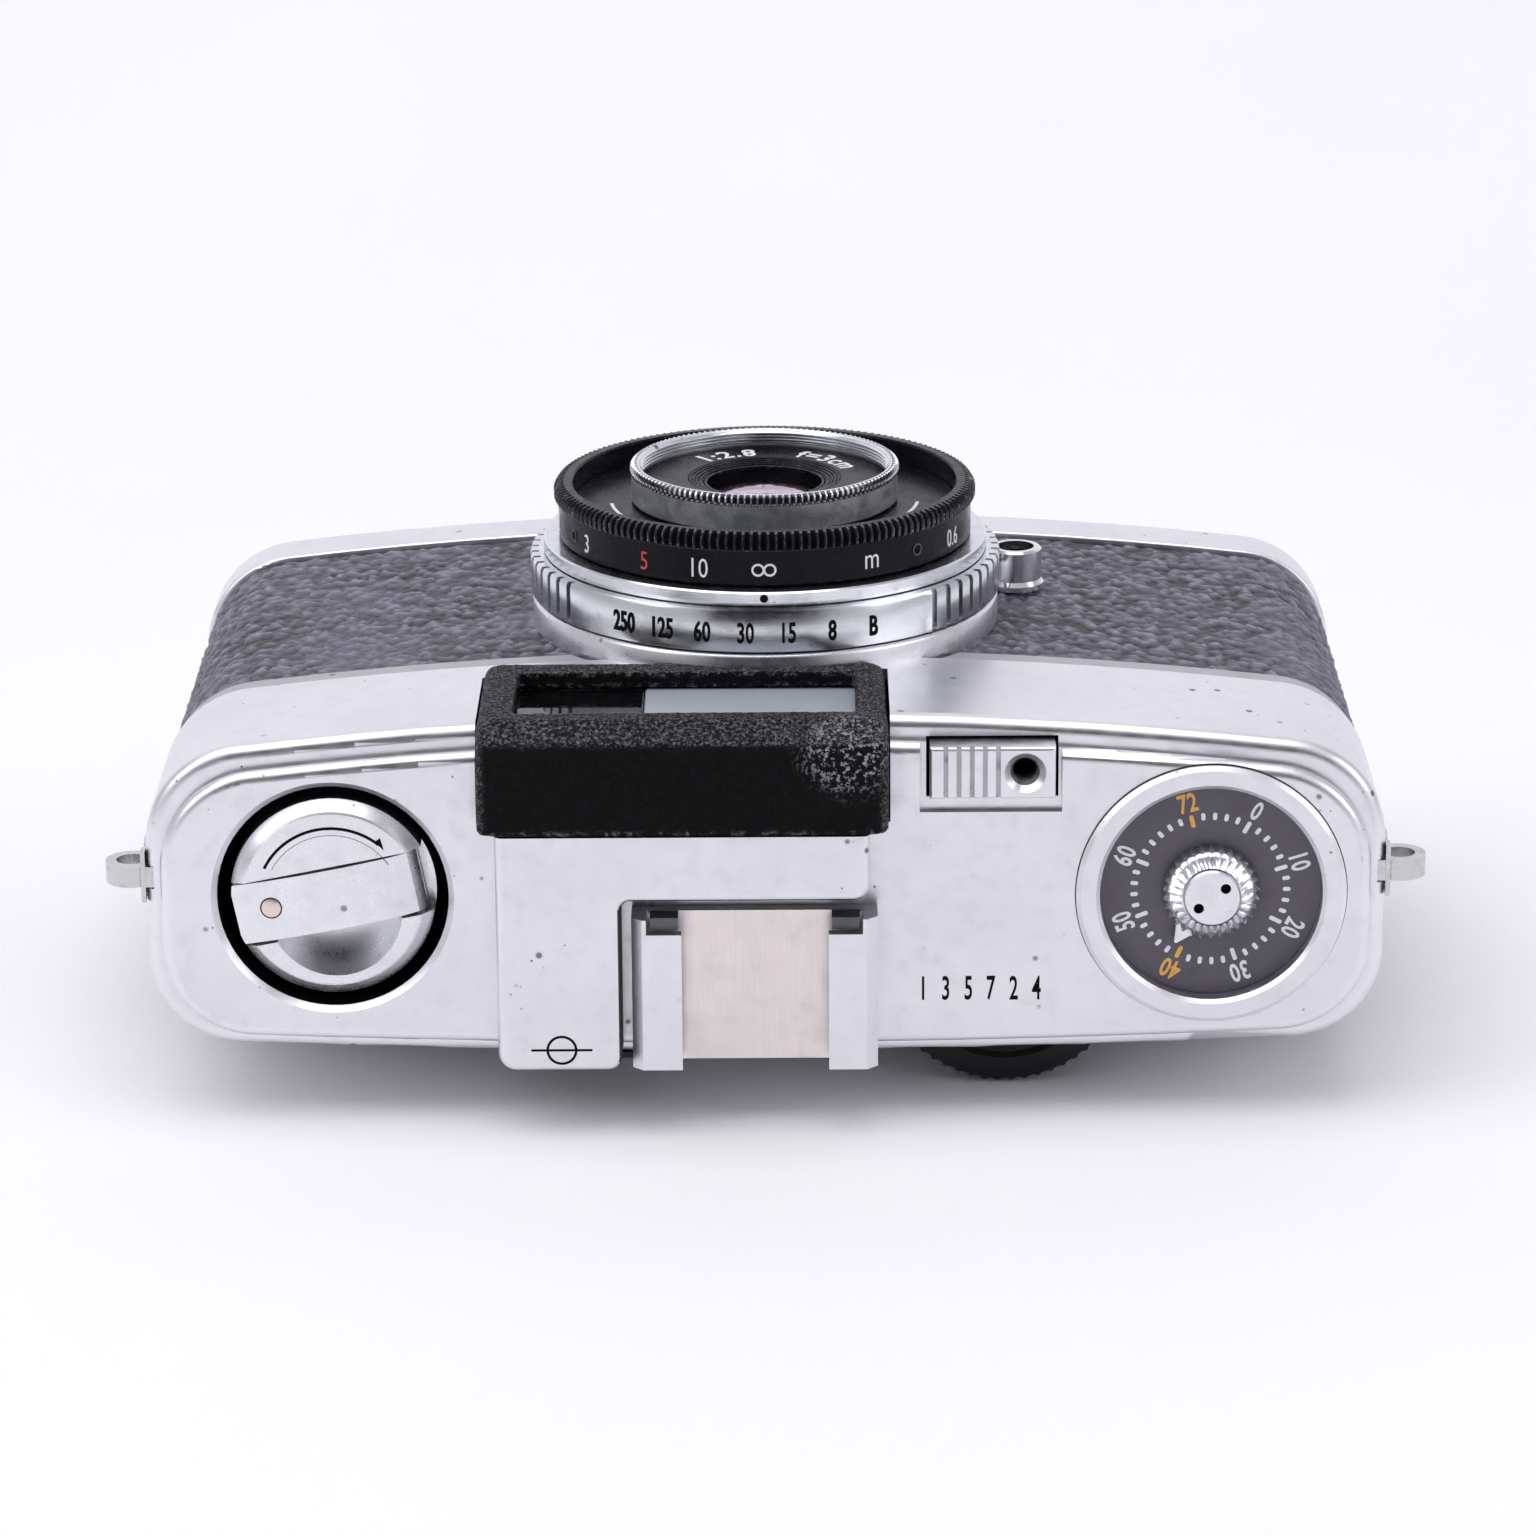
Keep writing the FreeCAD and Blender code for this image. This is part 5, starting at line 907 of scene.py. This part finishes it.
# ---------------------------------------------------------------- lens rings
pr = Print("speed_scale", "speed_ring", [M["ink_k"]], "bright_chrome")
for t, a in (("250", -35.7), ("125", -24.9), ("60", -14.9), ("30", -4.4), ("15", 5.9), ("8", 16.4), ("B", 27.0)):
    pr.barrel(glyphs(t, 2.55, 0.14, 0.60, 1.02, 0.06, 0.2), a, 21.16, -19.15)
pr.done()
pr = Print("index_mark", "camera_body", [M["ink_k"]], "bright_chrome")
pr.barrel(ring_arc(0.0, 0.36, 0.09, 0, 360, 28), 0, 20.02, -21.95)
pr.done()
pr = Print("distance_scale", "focus_ring", [M["ink_w"], M["ink_r"]], "black_anodised")
for t, a, m, s in (("10", -17.6, 0, 2.5), ("5", -34.5, 1, 2.4), ("3", -57.8, 0, 2.4), ("m", 30.6, 0, 2.7), ("0.6", 64, 0, 2.3)):
    pr.barrel(glyphs(t, s, 0.09, 0.78, 1.0, -0.01, 0.2), a, 18.62, -24.15, mi=m)
for t, a in (("2", -82), ("1.5", -112), ("1.2", -142), ("1", -172), ("0.8", -212)):
    pr.barrel(glyphs(t, 2.3, 0.09, 0.78, 1.0, -0.01, 0.2), a, 18.62, -24.15)
for sgn in (-1, 1):
    g0 = ring_arc(0.40, 0.58, 0.09, 0, 360, 26)
    pr.barrel((g0[0] + np.array([sgn * 0.52, 0, 0]), g0[1]), 0, 18.62, -24.15)
pr.done()

pr = Print("focus_set_screws", "focus_ring", [M["shade_black"], M["dark_steel_and_shade"]], "black_anodised")
# each set screw: a near-black disc of painted shade for its socket, inside a dark steel ring
for a in (-65.5, 46.5):
    pr.barrel(ring_arc(0.0, 0.42, 0.10, 0, 360, 24), a, 18.62, -24.3)
    pr.barrel(ring_arc(0.42, 0.56, 0.13, 0, 360, 24), a, 18.62, -24.3, mi=1)
pr.done()

# white scale arcs and the aperture scale on the barrel face
bl = corners("lens_barrel")
bvb = BVHTree.FromPolygons([v.co / MM for v in N["lens_barrel"].data.vertices], [tuple(p.vertices) for p in N["lens_barrel"].data.polygons])
h = bvb.ray_cast(Vector((14.6, -60, 32.4)), Vector((0, 1, 0)))
yb = h[0].y if h[0] is not None else bl[0][1]
pr = Print("aperture_scale", "lens_barrel", [M["ink_w"]], "black_anodised")
for i, t in enumerate(("2.8", "4", "5.6", "8", "11", "16", "22")):
    pr.face(glyphs(t, 2.2, T, 0.75, 1.0, 0.0, 0.3), 150 + i * 15 - 15, 14.9, yb)
for a0, a1 in ((66, 84), (276, 294)):
    g0 = ring_arc(13.7, 14.0, T, a0, a1, 30)
    pr.add([(u, yb - w, 32.4 + v) for u, v, w in g0[0]], g0[1])
pr.done()

# writing on the name ring
h = None
bvn = BVHTree.FromPolygons([v.co / MM for v in N["name_ring"].data.vertices], [tuple(p.vertices) for p in N["name_ring"].data.polygons])
h1 = bvn.ray_cast(Vector((0, -60, 32.4 - 8.7)), Vector((0, 1, 0)))
yn = h1[0].y if h1[0] is not None else -27.5
pr = Print("name_ring_marks", "lens_barrel", [M["ink_w"]], "black_anodised")
pr.face(glyphs("1:2.8", 3.0, T, 0.86, 1.16, 0.06, 0.3), 156, 8.42, yn - 0.004)
pr.face(glyphs("f=3cm", 2.9, T, 0.84, 1.16, 0.06, 0.3), 225, 8.42, yn - 0.004)
pr.done()

# stepped baffle between the writing and the front glass
steps = [(7.95, -27.502), (6.95, -27.502), (6.90, -27.46)]
for i in range(5):
    r_ = 6.84 - i * 0.31
    y_ = -27.44 + i * 0.09
    steps += [(r_, y_ + 0.06), (r_ - 0.06, y_ - 0.02), (r_ - 0.18, y_ - 0.02), (r_ - 0.23, y_ + 0.09)]
steps += [(5.28, -26.98), (5.28, -26.80), (7.95, -26.80)]
steps = [(a_, -27.0 - b_) for a_, b_ in steps]
vs, fs = lathe([(a_, b_) for a_, b_ in steps], (0, -27.0, 32.4), (0, -1, 0), 140)
outward(obj("baffle_steps", vs, fs, M["anod"], "lens_barrel", 24))

# filter thread inside the aperture ring
ya = corners("aperture_ring")[0][1]
prof = [(11.32, 0.12)]
k = 4
for i in range(k):
    y0 = 0.20 + i * 0.29
    prof += [(11.26, y0), (11.06, y0 + 0.145)]
prof += [(11.26, 0.20 + k * 0.29), (11.32, 0.22 + k * 0.29)]
vs, fs = lathe(prof, (0, ya, 32.4), (0, 1, 0), 180)
outward(obj("filter_thread_turns", vs, fs, M["turned"], "aperture_ring", 20))

# thread in the cable release socket
prof = [(1.30, -4.0)]
for i in range(9):
    z0 = -3.9 + i * 0.36
    prof += [(1.28, z0), (1.06, z0 + 0.18)]
prof += [(1.28, -3.9 + 9 * 0.36), (1.30, -0.62)]
vs, fs = lathe(prof, (-22.3, -10.9, 68.0), (0, 0, 1), 40)
outward(obj("cable_thread_turns", vs, fs, M["dark_steel_and_shade"], "release", 20))

# ---------------------------------------------------------------- stage, light, camera
b0, b1 = [Vector(v) for v in cad_box][:2] if not isinstance(cad_box, dict) else (None, None)
yf = (b1.y if b1 else 0.021) + 0.0002


def sweep():
    pts = [(yf, 0.95), (yf, -0.16)]
    r = 0.16
    for i in range(1, 13):
        a = rad(90 * i / 12)
        pts.append((yf - r + r * math.cos(a), -0.16 - r * math.sin(a)))
    pts.append((yf - 1.6, -0.32))
    vs, fs = [], []
    for x in np.linspace(-1.6, 1.6, 9):
        for y, z in pts:
            vs.append((x, y, z))
    k = len(pts)
    for i in range(8):
        for j in range(k - 1):
            fs.append((i * k + j, i * k + j + 1, i * k + k + j + 1, i * k + k + j))
    me = bpy.data.meshes.new("backdrop")
    me.from_pydata(vs, [], fs)
    me.update()
    me.shade_smooth()
    o = bpy.data.objects.new("backdrop", me)
    bpy.context.scene.collection.objects.link(o)
    # its front looks to -Y
    if me.polygons[0].normal.y > 0:
        me.flip_normals()
    g = G("backdrop_cloth")
    p = g.p
    weave = g.math("ADD", g.noise(2.2, 2, 0.5, g.stretch((6.0, 1.0, 0.6))), g.noise(2.2, 2, 0.5, g.stretch((0.6, 1.0, 6.0))))
    g.l(g.mix(g.ramp(g.noise(0.012, 2), 0.3, 0.7, 0, 1), (0.905, 0.90, 0.925), (0.925, 0.92, 0.94)), p.inputs["Base Color"])
    p.inputs["Roughness"].default_value = 0.9
    p.inputs["Specular IOR Level"].default_value = 0.1
    g.l(g.bump(weave, 0.25, 0.05), p.inputs["Normal"])
    geo = g.n("ShaderNodeNewGeometry")
    tr = g.n("ShaderNodeBsdfTransparent")
    mx = g.n("ShaderNodeMixShader")
    g.l(geo.outputs["Backfacing"], mx.inputs["Fac"])
    g.l(p.outputs[0], mx.inputs[1])
    g.l(tr.outputs[0], mx.inputs[2])
    g.l(mx.outputs[0], g.t.nodes["Material Output"].inputs["Surface"])
    me.materials.append(g.m)
    return o


sweep()

sc = bpy.context.scene
sc.view_settings.view_transform = "Standard"
sc.view_settings.look = "None"
w = bpy.data.worlds.new("studio")
sc.world = w
w.use_nodes = True
t = w.node_tree
bg = t.nodes["Background"]
tc = t.nodes.new("ShaderNodeTexCoord")
view = Vector((0.0, -0.208, 0.978))


def wn(kind, **kw):
    x = t.nodes.new(kind)
    for k2, v2 in kw.items():
        setattr(x, k2, v2)
    return x


dot = wn("ShaderNodeVectorMath", operation="DOT_PRODUCT")
t.links.new(tc.outputs["Generated"], dot.inputs[0])
dot.inputs[1].default_value = view
mr = wn("ShaderNodeMapRange", interpolation_type="SMOOTHSTEP")
t.links.new(dot.outputs["Value"], mr.inputs["Value"])
mr.inputs["From Min"].default_value = math.cos(rad(34))
mr.inputs["From Max"].default_value = math.cos(rad(24))
mr.inputs["To Min"].default_value = 0.0
mr.inputs["To Max"].default_value = 1.0
lp = wn("ShaderNodeLightPath")
glo = wn("ShaderNodeMath", operation="MULTIPLY")
t.links.new(mr.outputs["Result"], glo.inputs[0])
t.links.new(lp.outputs["Is Glossy Ray"], glo.inputs[1])
mixc = wn("ShaderNodeMixRGB")
t.links.new(glo.outputs[0], mixc.inputs["Fac"])
mixc.inputs["Color1"].default_value = (0.90, 0.90, 0.945, 1)
mixc.inputs["Color2"].default_value = (0.02, 0.02, 0.03, 1)
t.links.new(mixc.outputs["Color"], bg.inputs["Color"])
bg.inputs["Strength"].default_value = 0.55


def area(name, at, to, size, power, col=(1, 1, 1)):
    l = bpy.data.lights.new(name, "AREA")
    l.shape = "RECTANGLE"
    l.size, l.size_y = size
    l.energy = power
    l.color = col
    o = bpy.data.objects.new(name, l)
    bpy.context.scene.collection.objects.link(o)
    o.location = at
    d = Vector(to) - Vector(at)
    o.rotation_euler = d.to_track_quat("-Z", "Y").to_euler()
    return o


area("soft_top", (0.10, -0.62, 0.18), (0, 0, 0.04), (0.75, 0.55), 2.35)
area("soft_left", (0.62, -0.42, 0.35), (0, 0, 0.05), (0.40, 0.45), 0.9, (0.97, 0.98, 1.0))
area("soft_right", (-0.62, -0.30, 0.30), (0, 0, 0.05), (0.40, 0.45), 0.8, (0.99, 0.97, 1.0))

th, ps, ro = rad(18.1191), rad(-0.9533), rad(0.5762)
Rz = Matrix.Rotation(ps, 3, "Z")
d = Rz @ Vector((0, math.sin(th), -math.cos(th)))
u = Rz @ Vector((0, -math.cos(th), -math.sin(th)))
r = Rz @ Vector((-1.0, 0, 0))
u2 = u * math.cos(ro) - r * math.sin(ro)
r2 = r * math.cos(ro) + u * math.sin(ro)
target = Vector((-0.315, -11.1824, 67.0)) * MM
loc = target - d * 506.8999 * MM
cam = bpy.data.cameras.new("camera")
cam.sensor_fit = "HORIZONTAL"
cam.sensor_width = 36.0
cam.lens = 5926.2455 / 1536 * 36.0
cam.clip_start = 0.01
cam.clip_end = 20
co = bpy.data.objects.new("camera", cam)
sc.collection.objects.link(co)
co.matrix_world = Matrix(((r2.x, u2.x, -d.x, loc.x), (r2.y, u2.y, -d.y, loc.y), (r2.z, u2.z, -d.z, loc.z), (0, 0, 0, 1)))
sc.camera = co


def plain(bx):
    return [[float(c) for c in v] for v in bx]
